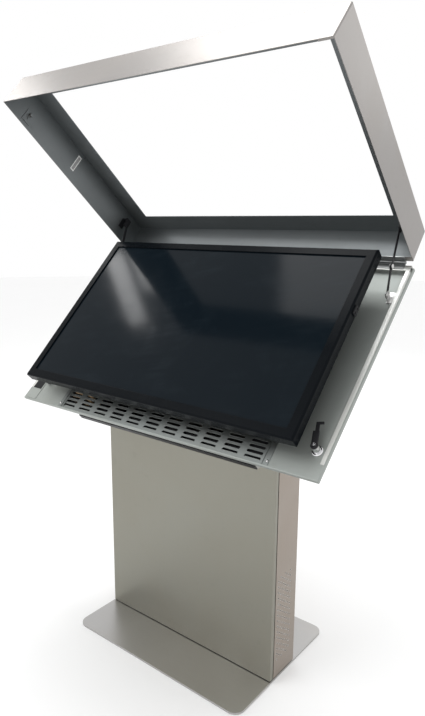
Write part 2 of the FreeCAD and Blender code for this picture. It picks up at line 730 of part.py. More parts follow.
def corner_cap():
    """A blanking cap: a stem in the corner's opening under a flange."""
    stem = box(
        (
            f"-{CORNER_ACROSS} - corner_cut_width / 2 + cap_fit",
            "corner_cut_up - corner_cut_length / 2 + cap_fit",
            "-cap_depth",
        ),
        ("corner_cut_width - 2 * cap_fit", "corner_cut_length - 2 * cap_fit", "cap_depth + doubler_thick"),
    )
    flange = box(
        (
            f"-{CORNER_ACROSS} - corner_cut_width / 2 - cap_over",
            "corner_cut_up - corner_cut_length / 2 - cap_over",
            "doubler_thick",
        ),
        ("corner_cut_width + 2 * cap_over", "corner_cut_length + 2 * cap_over", "cap_flange"),
    )
    keep("corner_cap", join([stem, flange]), in_deck)


def rim_height(along):
    """Height over the deck of the closed lid's rim, less the clearance."""
    return f"(hinge_rise - ({HINGE_ALONG} - ({along})) * {RIM_SLOPE} - rim_clear)"


def side_rails():
    last = "(deck_length - deck_round - hinge_rail_depth - pass_gap)"
    rails = []
    for side in (-1, 1):
        outline = [
            ("side_rail_start", "0 * 1"),
            (last, "0 * 1"),
            (last, rim_height(last)),
            ("side_rail_start", rim_height("side_rail_start")),
        ]
        low = side_low(side, "deck_width / 2 - deck_round - side_rail_width", "side_rail_width")
        rail = prism("YZ_Plane", outline, low, "side_rail_width")
        rails.append(dress(rail, "Fillet", "rim_clear", long_top_edge))
    keep("side_rails", group(rails), in_deck)


def hinge_rail():
    """A channel, open below, under the hinge's fixed leaf."""
    half = "(deck_width / 2 - deck_round)"
    low_y = "(deck_length - deck_round - hinge_rail_depth)"
    outer = box((f"-{half}", low_y, "0"), (f"2 * {half}", "hinge_rail_depth", "hinge_rail_rise"))
    inner = box(
        (f"-{half}", f"{low_y} + hinge_rail_wall", "-1"),
        (f"2 * {half}", "hinge_rail_depth - 2 * hinge_rail_wall", "hinge_rail_rise + 1 - hinge_rail_wall"),
    )
    keep("hinge_rail", cut(outer, [inner]), in_deck)


def vent_grille():
    low_x = "(grille_shift - grille_width / 2)"
    body = block_body((low_x, "grille_start", "0 * 1"), ("grille_width", "grille_length", "grille_thick"))
    first = "(grille_shift - (slot_columns - 1) * slot_pitch / 2)"
    slot = sketch_slot(body, first, "slot_first")
    doc.recompute()
    pocket = body.newObject("PartDesign::Pocket", "slot")
    pocket.Profile = slot
    pocket.Type = 1
    pocket.Reversed = True
    doc.recompute()
    grid = body.newObject("PartDesign::MultiTransform", "slot_grid")
    grid.Originals = [pocket]
    rows = body.newObject("PartDesign::LinearPattern", "rows")
    rows.Direction = (origin_plane(body, "Y_Axis"), [""])
    bind(rows, "Length", "(slot_rows - 1) * row_pitch")
    bind(rows, "Occurrences", "slot_rows")
    columns = body.newObject("PartDesign::LinearPattern", "columns")
    columns.Direction = (origin_plane(body, "X_Axis"), [""])
    bind(columns, "Length", "(slot_columns - 1) * slot_pitch")
    bind(columns, "Occurrences", "slot_columns")
    grid.Transformations = [columns, rows]
    body.Tip = grid
    ribs = [
        box((f"grille_shift + {at}", "grille_start", "0"), ("grille_rib / 2", "grille_length", "grille_rib / 2"))
        for at in (
            "grille_width / 2 - rib_inset - grille_rib",
            "-grille_width / 2 + rib_inset",
            "-grille_width / 2 + rib_inset + rib_step",
        )
    ]
    holes = [rod("z", (x, y, "-1"), "screw_hole / 2", "grille_rib") for x, y in screw_places()]
    keep("vent_grille", cut(join([body] + ribs), holes), in_deck)


def sketch_slot(body, middle_x, middle_y):
    """A slot with round ends, dimensioned by its middle, length and width."""
    sketch = body.newObject("Sketcher::SketchObject", "slot_outline")
    sketch.AttachmentSupport = [(origin_plane(body, "XY_Plane"), "")]
    sketch.MapMode = "FlatFace"
    half = size("slot_length") / 2 - size("slot_width") / 2
    radius = size("slot_width") / 2
    middle = Vector(size("grille_shift") - (size("slot_columns") - 1) * size("slot_pitch") / 2, size("slot_first"), 0)
    corners = [middle + Vector(x, y, 0) for x, y in ((-half, -radius), (half, -radius), (half, radius), (-half, radius))]
    ends = [middle + Vector(x, 0, 0) for x in (half + radius, -half - radius)]
    sketch.addGeometry(Part.LineSegment(corners[0], corners[1]), False)
    sketch.addGeometry(Part.Arc(corners[1], ends[0], corners[2]), False)
    sketch.addGeometry(Part.LineSegment(corners[2], corners[3]), False)
    sketch.addGeometry(Part.Arc(corners[3], ends[1], corners[0]), False)
    for k in range(4):
        sketch.addConstraint(Sketcher.Constraint("Tangent", k, 2, (k + 1) % 4, 1))
    shift = "(slot_length - slot_width) / 2"
    for arc, sign in ((1, ""), (3, "-")):
        number = sketch.addConstraint(Sketcher.Constraint("DistanceX", -1, 1, arc, 3, middle.x))
        bind(sketch, f"Constraints[{number}]", f"{middle_x} + ({sign}{shift})")
        number = sketch.addConstraint(Sketcher.Constraint("DistanceY", -1, 1, arc, 3, middle.y))
        bind(sketch, f"Constraints[{number}]", middle_y)
        number = sketch.addConstraint(Sketcher.Constraint("Radius", arc, radius))
        bind(sketch, f"Constraints[{number}]", "slot_width / 2")
    return sketch


def grille_duct():
    """A shallow pan under the grille, open above and over the housing."""
    outer = box(DUCT_LOW, DUCT_EXTENT)
    inner = box(
        [f"{low} + duct_wall" for low in DUCT_LOW],
        (f"{DUCT_EXTENT[0]} - 2 * duct_wall", f"{DUCT_EXTENT[1]} - 2 * duct_wall", "duct_depth"),
    )
    drop = box(
        ("-housing_width / 2 + duct_inset", "housing_start + duct_inset", f"{DUCT_LOW[2]} - 1"),
        ("housing_width - 2 * duct_inset", f"{DUCT_LOW[1]} + {DUCT_EXTENT[1]} - housing_start - 2 * duct_inset", "4 * duct_wall"),
    )
    keep("grille_duct", cut(outer, [inner, drop]), in_deck)


def grille_screws():
    screws = []
    for x, y in screw_places():
        head = rod("z", (x, y, "grille_thick"), "screw_head / 2", "screw_head_rise")
        shank = rod("z", (x, y, "-screw_long"), "screw_shank / 2", "grille_thick + screw_long")
        drive = box(
            (f"{x} - screw_head / 3", f"{y} - screw_slot / 2", "grille_thick + screw_head_rise - screw_slot"),
            ("2 * screw_head / 3", "screw_slot", "2 * screw_slot"),
        )
        screws.append(cut(join([head, shank]), [drive]))
    keep("grille_screws", group(screws), in_deck)


def loom_cable(along):
    """One cable: up out of the housing, round a bend and left under the grille."""
    bend = 2 * size("cable_diameter")
    run_x = size("grille_shift") - size("grille_width") / 2 + size("cable_inset")
    turn_x = run_x + size("cable_run")
    level = -size("deck_wall") - size("duct_depth") / 2 + size("cable_lift")
    low = Vector(turn_x, along, -size("deck_wall") - size("duct_depth") - size("cable_drop"))
    corner = Vector(turn_x, along, level)
    lower = corner + Vector(0, 0, -bend)
    upper = corner + Vector(-bend, 0, 0)
    middle = corner + Vector(-bend, 0, -bend) + Vector(bend, 0, bend) * math.sqrt(0.5)
    path = Part.Wire([
        Part.LineSegment(low, lower).toShape(),
        Part.Arc(lower, middle, upper).toShape(),
        Part.LineSegment(upper, Vector(run_x, along, level)).toShape(),
    ])
    section = Part.Wire([Part.Circle(low, Vector(0, 0, 1), size("cable_diameter") / 2).toShape()])
    return path.makePipeShell([section], True, True)


def cable_loom():
    loom = doc.addObject("Part::Feature", "loom")
    first = size("housing_start") + size("cable_first")
    count = int(size("cable_count"))
    loom.Shape = Part.makeCompound([loom_cable(first + k * size("cable_pitch")) for k in range(count)])
    loom.Placement = Placement(
        Vector(0, size("deck_front"), size("deck_rise")), Rotation(Vector(1, 0, 0), size("deck_tilt"))
    )
    loom.Label = "cable_loom"
    parts.append(loom)


def cable_junction():
    """Where the loom ends: an entry block in the duct and a terminal box in the housing."""
    low_x = "(grille_shift - grille_width / 2 + entry_inset)"
    entry = box(
        (low_x, "housing_start + entry_start", "-deck_wall - duct_depth + duct_wall"),
        ("entry_width", "entry_length", "duct_depth - duct_wall"),
    )
    terminals = box(
        (f"{low_x} + terminal_shift", "housing_start + housing_wall", "-housing_drop + 2 * housing_wall + pass_gap"),
        ("terminal_width", "terminal_length", "terminal_rise"),
    )
    keep("cable_junction", group([entry, terminals]), in_deck)


def deck_clip():
    """A small catch beside the corner opening."""
    low = (f"-{CORNER_ACROSS} + clip_across", "lock_up - clip_length / 3", "0")
    foot = box(low, ("clip_width", "clip_length", "clip_thick"))
    hook = box(low, ("clip_width", "clip_wall", "clip_rise"))
    keep("deck_clip", join([foot, hook]), in_deck)


# ---------------------------------------------------------------- display


def display_block(inset, low_z, rise, name="block"):
    """A block centred on the display, `inset` smaller all round."""
    return box(
        (f"-{DISPLAY_WIDTH} / 2 + {inset}", f"{inset}", low_z),
        (f"{DISPLAY_WIDTH} - 2 * ({inset})", f"{DISPLAY_HEIGHT} - 2 * ({inset})", rise),
        name,
    )


def display_bezel():
    low = (f"-{DISPLAY_WIDTH} / 2", "0 * 1", "-bezel_depth")
    outer = block_body(low, (DISPLAY_WIDTH, DISPLAY_HEIGHT, "bezel_depth"))
    dress(outer, "Chamfer", "bezel_chamfer", top_edge)
    hollow = display_block("bezel_side", "-2 * bezel_depth", "2 * bezel_depth - bezel_front")
    window = display_block("bezel_border", "-bezel_depth", "2 * bezel_depth")
    keep("display_bezel", cut(outer, [hollow, window]), in_display)


def touch_glass():
    pane = display_block("bezel_border - glass_under", "-bezel_front - glass_thick", "glass_thick")
    keep("touch_glass", group([pane]), in_display)


def lcd_panel():
    keep("lcd_panel", group([display_block("bezel_side + panel_clear", REAR_TOP, "panel_thick")]), in_display)


REAR_TOP = "(-bezel_front - glass_thick - panel_thick)"
REAR_BOTTOM = f"({REAR_TOP} - rear_depth)"
MOUNT_LOW = f"(({DISPLAY_HEIGHT} - mount_spacing) / 2)"


def mount_places():
    """Display x and y of the four mounting bolts."""
    return [
        (f"({a} * mount_spacing / 2)", f"({MOUNT_LOW} + {b} * mount_spacing)")
        for a in (-1, 1)
        for b in (0, 1)
    ]


def mount_holes():
    """Clearance holes through the rear cover's floor and the rails' tops."""
    return [
        rod("z", (x, y, "-3 * rear_depth"), "mount_bolt / 2 + bolt_fit", "3 * rear_depth")
        for x, y in mount_places()
    ]


def display_rear_cover():
    inset = "(bezel_side + rear_inset)"
    outer = block_body(
        (f"-{DISPLAY_WIDTH} / 2 + {inset}", inset, f"{REAR_TOP} - rear_depth"),
        (f"{DISPLAY_WIDTH} - 2 * {inset}", f"{DISPLAY_HEIGHT} - 2 * {inset}", "rear_depth"),
    )
    dress(outer, "Chamfer", "rear_chamfer", bottom_edge)
    hollow = display_block(f"{inset} + rear_wall", f"{REAR_TOP} - rear_depth + rear_chamfer", "rear_depth")
    deep = display_block(f"{inset} + rear_chamfer", f"{REAR_TOP} - rear_depth + rear_wall", "rear_depth")
    holes = mount_holes()
    keep("display_rear_cover", cut(outer, [hollow, deep] + holes), in_display)


def rail_foot(y, lift="0"):
    """Height of the deck under the display at this distance up the screen."""
    return f"(-display_lift / cos(display_tilt) - ({y}) * tan(display_tilt) + {lift})"


def display_rails():
    """Two hat rails, wedge-shaped because the screen leans more than the deck."""
    start = f"({MOUNT_LOW} - rail_before)"
    end = f"({start} + rail_length)"
    outline = [(start, rail_foot(start)), (end, rail_foot(end)), (end, REAR_BOTTOM), (start, REAR_BOTTOM)]
    inside = [
        (f"{start} - 1", rail_foot(start, "-2 * rail_wall")),
        (f"{end} + 1", rail_foot(end, "-2 * rail_wall")),
        (f"{end} + 1", f"{REAR_BOTTOM} - rail_wall"),
        (f"{start} - 1", f"{REAR_BOTTOM} - rail_wall"),
    ]
    rails = []
    for side in (-1, 1):
        low_x = f"({side} * mount_spacing / 2 - rail_width / 2)"
        outer = prism("YZ_Plane", outline, low_x, "rail_width")
        inner = prism("YZ_Plane", inside, f"{low_x} + rail_wall", "rail_width - 2 * rail_wall")
        rails.append(cut(outer, [inner]))
    keep("display_rails", cut(group(rails), mount_holes()), in_display)


def mount_bolts():
    bolts = []
    for x, y in mount_places():
        start = f"({REAR_BOTTOM} - rail_wall)"
        shank = rod("z", (x, y, start), "mount_bolt / 2", "rail_wall + rear_wall + mount_thread")
        head = rod("z", (x, y, f"{start} - mount_head_rise"), "mount_head", "mount_head_rise")
        bolts.append(join([shank, head]))
    keep("mount_bolts", group(bolts), in_display)


CONTROL_MIDDLE_Z = "(bezel_depth / 4 - control_low)"
BUTTON_PLACES = {"power_button": "button_end", "source_button": "(control_length - button_end)"}


def side_control():
    """A small housing on the display's right edge that carries two push buttons."""
    block = block_body(
        (f"{DISPLAY_WIDTH} / 2", "control_up", "-control_low"),
        ("control_reach", "control_length", "bezel_depth / 2"),
    )
    dress(block, "Chamfer", "control_chamfer", upright_edge)
    bores = [
        rod(
            "x",
            (f"{DISPLAY_WIDTH} / 2 - 1", f"control_up + {at}", CONTROL_MIDDLE_Z),
            "button_diameter / 2 + button_fit",
            "2 * control_reach",
        )
        for at in BUTTON_PLACES.values()
    ]
    keep("side_control", cut(block, bores), in_display)


def control_buttons():
    """Each button stands proud of the housing by the same distance that it clears the display."""
    for label, at in BUTTON_PLACES.items():
        start = (f"{DISPLAY_WIDTH} / 2 + button_travel", f"control_up + {at}", CONTROL_MIDDLE_Z)
        keep(label, group([rod("x", start, "button_diameter / 2", "control_reach")]), in_display)


# ---------------------------------------------------------------- hinge


def knuckles(fixed, outer, name):
    """Cylinders round the hinge axis; odd ones belong to the fixed leaf."""
    count = int(size("hinge_knuckles"))
    pitch = f"({HINGE_WIDTH} / {count})"
    return [
        rod(
            "x",
            (f"-{HINGE_WIDTH} / 2 + {k} * {pitch} + knuckle_gap", outer[0], outer[1]),
            "hinge_knuckle / 2",
            f"{pitch} - 2 * knuckle_gap",
            name,
        )
        for k in range(count)
        if (k % 2 == 0) == fixed
    ]


def leaf_tabs(fixed, back, level):
    """The strips that join the leaf's plate to its own knuckles."""
    count = int(size("hinge_knuckles"))
    pitch = f"({HINGE_WIDTH} / {count})"
    return [
        box(
            (f"-{HINGE_WIDTH} / 2 + {k} * {pitch} + knuckle_gap", f"{back} - hinge_back", level),
            (f"{pitch} - 2 * knuckle_gap", "hinge_back - hinge_pin / 2 - hinge_fit", "hinge_leaf"),
        )
        for k in range(count)
        if (k % 2 == 0) == fixed
    ]


def hinge_leaf(label, fixed, axis_y, axis_z, level, frame):
    plate = box(
        (f"-{HINGE_WIDTH} / 2", f"{axis_y} - hinge_leaf_reach - hinge_back", level),
        (HINGE_WIDTH, "hinge_leaf_reach", "hinge_leaf"),
    )
    round_parts = knuckles(fixed, (axis_y, axis_z), "knuckle")
    bore = rod("x", ("-deck_width", axis_y, axis_z), "hinge_pin / 2 + hinge_fit", "2 * deck_width")
    keep(label, cut(join([plate] + leaf_tabs(fixed, axis_y, level) + round_parts), [bore]), frame)


def hinge():
    level = "(hinge_rise - leaf_gap - hinge_leaf)"
    hinge_leaf("hinge_leaf_fixed", True, HINGE_ALONG, "hinge_rise", level, in_deck)
    hinge_leaf("hinge_leaf_lid", False, "(0 * 1)", "(0 * 1)", "leaf_gap", in_lid)
    pin = rod("x", (f"-{HINGE_WIDTH} / 2", HINGE_ALONG, "hinge_rise"), "hinge_pin / 2", HINGE_WIDTH)
    keep("hinge_pin", group([pin]), in_deck)


# ---------------------------------------------------------------- lid


def lid_frame():
    rear = "(-hinge_back)"
    front = f"(-hinge_back - {LID_LENGTH})"
    outer = block_body(("-deck_width / 2", front, "0 * 1"), ("deck_width", LID_LENGTH, "lid_depth"))
    dress(outer, "Fillet", "lid_bend", upright_edge)
    outer = dress_rim(outer)
    inner = box(
        ("-deck_width / 2 + lid_wall", f"{front} + lid_wall", "-1"),
        ("deck_width - 2 * lid_wall", f"{LID_LENGTH} - 2 * lid_wall", "lid_depth + 1 - lid_wall"),
    )
    window = box(
        ("-deck_width / 2 + lid_border_side", f"{front} + lid_border_front", "lid_depth / 2"),
        ("deck_width - 2 * lid_border_side", f"{LID_LENGTH} - lid_border_front - lid_border_rear", "lid_depth"),
    )
    shell = cut(outer, [inner, window])
    lip_level = "(leaf_gap + hinge_leaf)"
    lip = box(
        ("-deck_width / 2 + lid_wall", f"{rear} - lid_wall - lid_return", lip_level),
        ("deck_width - 2 * lid_wall", "lid_wall + lid_return", "lid_wall"),
    )
    relief = box(
        ("-deck_width / 2", f"{rear} - hinge_leaf_reach - lid_wall", "-1"),
        ("deck_width", "hinge_leaf_reach + 2 * lid_wall", f"1 + {lip_level}"),
    )
    keep("lid_frame", cut(join([shell, lip]), [relief]), in_lid)


def dress_rim(body):
    """Round the bends between the lid's walls and its outer face."""
    doc.recompute()
    base = body.Tip
    names = [
        f"Edge{number}"
        for number, edge in enumerate(base.Shape.Edges, start=1)
        if edge.BoundBox.ZMin > base.Shape.BoundBox.ZMax - 0.01
    ]
    feature = body.newObject("PartDesign::Fillet", "rim")
    feature.Base = (base, names)
    bind(feature, "Radius", "lid_fold")
    doc.recompute()
    return body


def lid_label():
    plate = box(
        ("-deck_width / 2 + lid_wall", "-label_along", "label_low"),
        ("label_thick", "label_width", "label_rise"),
    )
    keep("lid_label", group([plate]), in_lid)


STRIKER_Y = f"(-hinge_back - {LID_LENGTH} + lock_up + striker_ahead)"


def lid_striker():
    """A slotted plate and a round stud inside the left wall, near the free end."""
    wall = "(-deck_width / 2 + lid_wall)"
    plate = box(
        (wall, f"{STRIKER_Y} - striker_width / 2", "striker_low"),
        ("striker_thick", "striker_width", "striker_rise"),
    )
    hole_start = (f"{wall} - 1", f"{STRIKER_Y} - striker_slot_shift", "striker_slot_up")
    hole = rod("x", hole_start, "striker_slot / 2", "2 * striker_thick + 1")
    stud = rod("x", (wall, STRIKER_Y, "stud_up"), "stud_diameter / 2", "stud_reach")
    keep("lid_striker", join([cut(plate, [hole]), stud]), in_lid)


def lid_keeper():
    """An angle on the front wall whose leg the lock's cam slides over."""
    low = (f"{LOCK_ACROSS} - keeper_width / 2", f"-hinge_back - {LID_LENGTH} + lid_wall", "lock_rise - keeper_below")
    leg = box(low, ("keeper_width", "keeper_reach", "keeper_thick"))
    web = box(low, ("keeper_width", "keeper_thick", "keeper_rise"))
    keep("lid_keeper", join([leg, web]), in_lid)


# ---------------------------------------------------------------- lid stays

STAY_LOWER_X = "(deck_width / 2 - stay_inset)"
STAY_UPPER_X = f"({STAY_LOWER_X} + stay_thick + stay_gap)"
STAY_EAR_X = f"({STAY_LOWER_X} + 2 * stay_thick + 2 * stay_gap)"
STAY_PIVOTS = {
    "foot": ("(deck_length - foot_back)", "foot_up"),
    "knee": ("(deck_length - knee_back)", "knee_up"),
    "head": ("(deck_length + head_over)", "head_up"),
}


def link_arm(side, inner, length, holes):
    """A flat arm along +Y from the origin with a round eye at each end."""
    low_x = side_low(side, inner, "stay_thick")
    bar = box((low_x, "0", "-stay_width / 2"), ("stay_thick", length, "stay_width"))
    eyes = [rod("x", (low_x, y, "0"), "stay_eye / 2", "stay_thick") for y in ("0", length)]
    bores = [rod("x", (f"{low_x} - 1", y, "0"), "stay_pin / 2 + stay_fit", "stay_thick + 2") for y in holes]
    return cut(join([bar] + eyes), bores)


def span(first, second):
    """Length and turn from the deck of the line between two named pivots."""
    dy, dz = (f"({b} - {a})" for a, b in zip(STAY_PIVOTS[first], STAY_PIVOTS[second]))
    return f"sqrt({dy} * {dy} + {dz} * {dz})", f"atan2({dz}; {dy})"


def disc(side, inner, name="disc"):
    """A rivet's head at the origin."""
    return rod("x", (side_low(side, inner, "stay_rivet_rise"), "0", "0"), "stay_rivet / 2", "stay_rivet_rise", name)


def pivot(side):
    """A pin along X through both arms' planes, with a head at each end."""
    inner = f"({STAY_LOWER_X} - head_gap)"
    reach = "(2 * stay_thick + stay_gap + 2 * head_gap)"
    shank = rod("x", (side_low(side, inner, reach), "0", "0"), "stay_pin / 2", reach)
    return join([shank, disc(side, f"{inner} - stay_rivet_rise"), disc(side, f"{inner} + {reach}")])


def stay(side, word):
    """One folding stay: two arms, the knee rivet and the pin at its foot."""
    length, turn = span("foot", "knee")
    lower = link_arm(side, STAY_LOWER_X, length, ["0", length])
    place(keep(f"stay_lower_{word}", lower), *STAY_PIVOTS["foot"], turn)
    length, turn = span("knee", "head")
    head = disc(side, f"{STAY_UPPER_X} - stay_rivet_rise")
    bind(head, "Placement.Base.y", length)
    upper = join([link_arm(side, STAY_UPPER_X, length, ["0"]), head])
    place(keep(f"stay_upper_{word}", upper), *STAY_PIVOTS["knee"], turn)
    place(keep(f"stay_knee_{word}", pivot(side)), *STAY_PIVOTS["knee"])
    place(keep(f"stay_foot_pin_{word}", pivot(side)), *STAY_PIVOTS["foot"])


def foot_bracket(side):
    """An angle on the deck: the ear that the lower arm turns on, and its foot."""
    y, z = STAY_PIVOTS["foot"]
    low_x = side_low(side, STAY_UPPER_X, "stay_thick")
    ear = box((low_x, f"{y} - ear_width / 2", "0"), ("stay_thick", "ear_width", f"{z} + ear_over"))
    foot = box(
        (side_low(side, STAY_UPPER_X, "bracket_foot"), f"{y} - bracket_length / 2", "0"),
        ("bracket_foot", "bracket_length", "stay_thick"),
    )
    bore = rod("x", (f"{low_x} - 1", y, z), "stay_pin / 2 + stay_fit", "stay_thick + 2")
    return cut(join([ear, foot]), [bore])


def head_bracket(side):
    """A stand-off from the lid's side wall to the plane of the upper arm, with a stub."""
    along, up = STAY_PIVOTS["head"]
    dy = f"({along} - {HINGE_ALONG})"
    dz = f"({up} - hinge_rise)"
    y = f"({dy} * cos(deck_tilt + lid_open) - {dz} * sin(deck_tilt + lid_open))"
    z = f"({dy} * sin(deck_tilt + lid_open) + {dz} * cos(deck_tilt + lid_open))"
    low_y = f"{y} - head_bracket_width / 2"
    low_z = f"{z} - head_bracket_width / 2"
    leaf = ("stay_thick", "head_bracket_width", "head_bracket_rise")
    reach = f"(deck_width / 2 - lid_wall - {STAY_EAR_X})"
    ear = box((side_low(side, STAY_EAR_X, "stay_thick"), low_y, low_z), leaf)
    flange = box((side_low(side, "deck_width / 2 - lid_wall - stay_thick", "stay_thick"), low_y, low_z), leaf)
    web = box(
        (side_low(side, STAY_EAR_X, reach), low_y, f"{z} + head_bracket_web"),
        (reach, "head_bracket_width", "stay_thick"),
    )
    stub_x = side_low(side, f"{STAY_EAR_X} + stay_thick", "stay_rivet_rise")
    stub = rod("x", (stub_x, y, z), "stay_rivet / 2", "stay_rivet_rise")
    return join([ear, web, flange, stub])


def stays():
    for side, word in ((1, "right"), (-1, "left")):
        stay(side, word)
    keep("stay_foot_brackets", group([foot_bracket(side) for side in (1, -1)]), in_deck)
    keep("stay_head_brackets", group([head_bracket(side) for side in (1, -1)]), in_lid)


# ---------------------------------------------------------------- lock

LOCK_FOOT = "(-deck_wall - lock_flange_thick)"


def lock_parts():
    """A barrel through the deck, a round nut on top and the plug that the key turns."""
    x, y = LOCK_ACROSS, "lock_up"
    body = join([
        rod("z", (x, y, LOCK_FOOT), "lock_barrel / 2", f"lock_rise - {LOCK_FOOT}"),
        rod("z", (x, y, LOCK_FOOT), "lock_flange / 2", "lock_flange_thick"),
    ])
    bore = rod("z", (x, y, "-2 * lock_rise"), "lock_bore / 2 + lock_fit", "4 * lock_rise")
    keep("lock_barrel", cut(body, [bore]), in_deck)
    skirt = rod("z", (x, y, "0"), "lock_nut / 2", "lock_nut_rise - lock_nut_bevel")
    crown = doc.addObject("Part::Cone", "crown")
    for prop, text in {
        "Radius1": "lock_nut / 2",
        "Radius2": "lock_nut / 2 - lock_nut_bevel",
        "Height": "lock_nut_bevel",
        "Placement.Base.x": x,
        "Placement.Base.y": y,
        "Placement.Base.z": "lock_nut_rise - lock_nut_bevel",
    }.items():
        bind(crown, prop, text)
    hole = rod("z", (x, y, "-1"), "lock_barrel / 2", "lock_nut_rise + 2")
    keep("lock_nut", cut(join([skirt, crown]), [hole]), in_deck)
    plug = rod("z", (x, y, LOCK_FOOT), "lock_bore / 2", f"lock_rise + plug_proud - {LOCK_FOOT}")
    key = box((f"{x} - key_width / 2", f"{y} - key_thick / 2", f"{LOCK_FOOT} - 1"), ("key_width", "key_thick", "key_depth"))
    keep("lock_plug", cut(plug, [key]), in_deck)


def lock_cam():
    """A flat hook; it points up the slope when the lock is open."""
    level = "(lock_rise + plug_proud)"
    low_y = "(-cam_width / 2)"
    neck_y = f"({low_y} + cam_edge)"
    root = rod("z", ("0", "0", level), "cam_root", "cam_thick")
    arm = box(("0", low_y, level), ("cam_wide", "cam_width", "cam_thick"))
    neck = box(("cam_narrow", neck_y, level), ("cam_length - cam_narrow", "cam_neck", "cam_thick"))
    hook = box(
        ("cam_length - cam_tip", f"{neck_y} - cam_hook", level),
        ("cam_tip", "cam_hook + cam_neck", "cam_thick"),
    )
    keep("lock_cam", turned_in_deck(join([root, arm, neck, hook])))
    head = rod("z", ("0", "0", f"{level} + cam_thick"), "cam_screw / 2", "cam_screw_rise")
    drive = box(
        ("-cam_screw / 3", "-cam_screw_slot / 2", f"{level} + cam_thick + cam_screw_rise - cam_screw_slot_deep"),
        ("2 * cam_screw / 3", "cam_screw_slot", "2 * cam_screw_slot_deep"),
    )
    keep("cam_screw", turned_in_deck(cut(head, [drive])))


def turned_in_deck(item):
    """Turn an item about Z by the cam's rest angle and set it on the lock in the deck."""
    holder = group([item])
    item.Placement = Placement(Vector(), Rotation(Vector(0, 0, 1), 1))
    bind(item, "Placement.Rotation.Angle", "cam_rest")
    bind(item, "Placement.Base.x", LOCK_ACROSS)
    bind(item, "Placement.Base.y", "lock_up")
    return in_deck(holder)


# ---------------------------------------------------------------- assembly


def build():
    base_plate()
    column_frame()
    frame_bolts()
    front_cover()
    column_shell()
    equipment_shelf()
    computer()
    power_strip()
    power_inlet()
    inlet_rocker()
    housing()
    housing_edge_strip()
    deck_saddles()
    deck_plate()
    corner_doubler()
    corner_cap()
    side_rails()
    hinge_rail()
    vent_grille()
    grille_duct()
    grille_screws()
    cable_loom()
    cable_junction()
    deck_clip()
    display_bezel()
    touch_glass()
    lcd_panel()
    display_rear_cover()
    display_rails()
    mount_bolts()
    side_control()
    control_buttons()
    hinge()
    lid_frame()
    lid_label()
    lid_striker()
    lid_keeper()
    stays()
    lock_parts()
    lock_cam()


def check():
    """Stop before anything is written if an object failed or a sub-part is not sound."""
    for item in doc.Objects:
        if {"Invalid", "Error"} & set(item.State):
            raise RuntimeError(f"{item.Label} did not compute: {item.State}")
    for item in parts:
        if item.Shape.isNull() or not item.Shape.isValid() or not item.Shape.Solids:
            raise RuntimeError(f"{item.Label} has no sound solid")


build()
doc.recompute()
check()
os.makedirs("parts", exist_ok=True)
for item in parts:
    item.Shape.exportStep(f"parts/{item.Label}.step")
print(len(parts), "sub-parts written")
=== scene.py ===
"""Touchscreen kiosk, lid open.

Satin steel column and deck, dark screen, hinged window lid with folding stays, and a cam lock.
"""

import json
import math

import bmesh
import bpy
from mathutils import Matrix, Vector


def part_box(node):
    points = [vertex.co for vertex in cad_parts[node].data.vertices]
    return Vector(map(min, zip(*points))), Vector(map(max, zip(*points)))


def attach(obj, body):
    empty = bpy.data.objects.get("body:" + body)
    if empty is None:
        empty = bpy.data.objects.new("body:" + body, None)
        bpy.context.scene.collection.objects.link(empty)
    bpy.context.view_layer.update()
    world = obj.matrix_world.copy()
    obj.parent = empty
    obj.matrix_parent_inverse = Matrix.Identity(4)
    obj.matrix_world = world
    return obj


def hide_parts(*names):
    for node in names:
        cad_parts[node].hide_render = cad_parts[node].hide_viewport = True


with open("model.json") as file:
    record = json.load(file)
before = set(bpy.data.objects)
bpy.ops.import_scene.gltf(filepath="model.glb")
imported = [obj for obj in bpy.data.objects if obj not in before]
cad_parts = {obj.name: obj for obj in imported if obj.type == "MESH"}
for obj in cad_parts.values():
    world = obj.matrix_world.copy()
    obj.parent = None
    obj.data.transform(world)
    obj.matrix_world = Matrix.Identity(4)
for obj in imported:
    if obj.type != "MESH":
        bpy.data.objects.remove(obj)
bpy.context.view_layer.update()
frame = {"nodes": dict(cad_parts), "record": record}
MM = 0.001

# ---------------------------------------------------------------- the kiosk's own directions


def middle_of(node):
    low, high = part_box(node)
    return (low + high) / 2


def joint_row(name):
    return next(row for row in frame["record"]["behaviour"]["joints"] if row["name"] == name)


# The deck's own frame starts at its front edge, with y up the slope and z out of the deck.
# The lid's starts at the hinge, with the open lid running along -y.
DECK_OUT = Vector(joint_row("lock_turn")["axis"])
DECK_TILT = math.atan2(-DECK_OUT.y, DECK_OUT.z)
SCREEN_TILT = DECK_TILT + math.radians(3)
LID_TILT = math.radians(-42.07)
HINGE = Vector(joint_row("lid_hinge")["pos_m"])
HINGE_ON_DECK = Vector((0, 638, 13)) * MM
DECK_TURN = Matrix.Rotation(DECK_TILT, 4, "X")
DECK_FRAME = Matrix.Translation(HINGE) @ DECK_TURN @ Matrix.Translation(-HINGE_ON_DECK)
LID_FRAME = Matrix.Translation(HINGE) @ Matrix.Rotation(LID_TILT, 4, "X")
LID_MIDDLE = LID_FRAME @ (Vector((0, -322, 50)) * MM)


# ---------------------------------------------------------------- node helpers


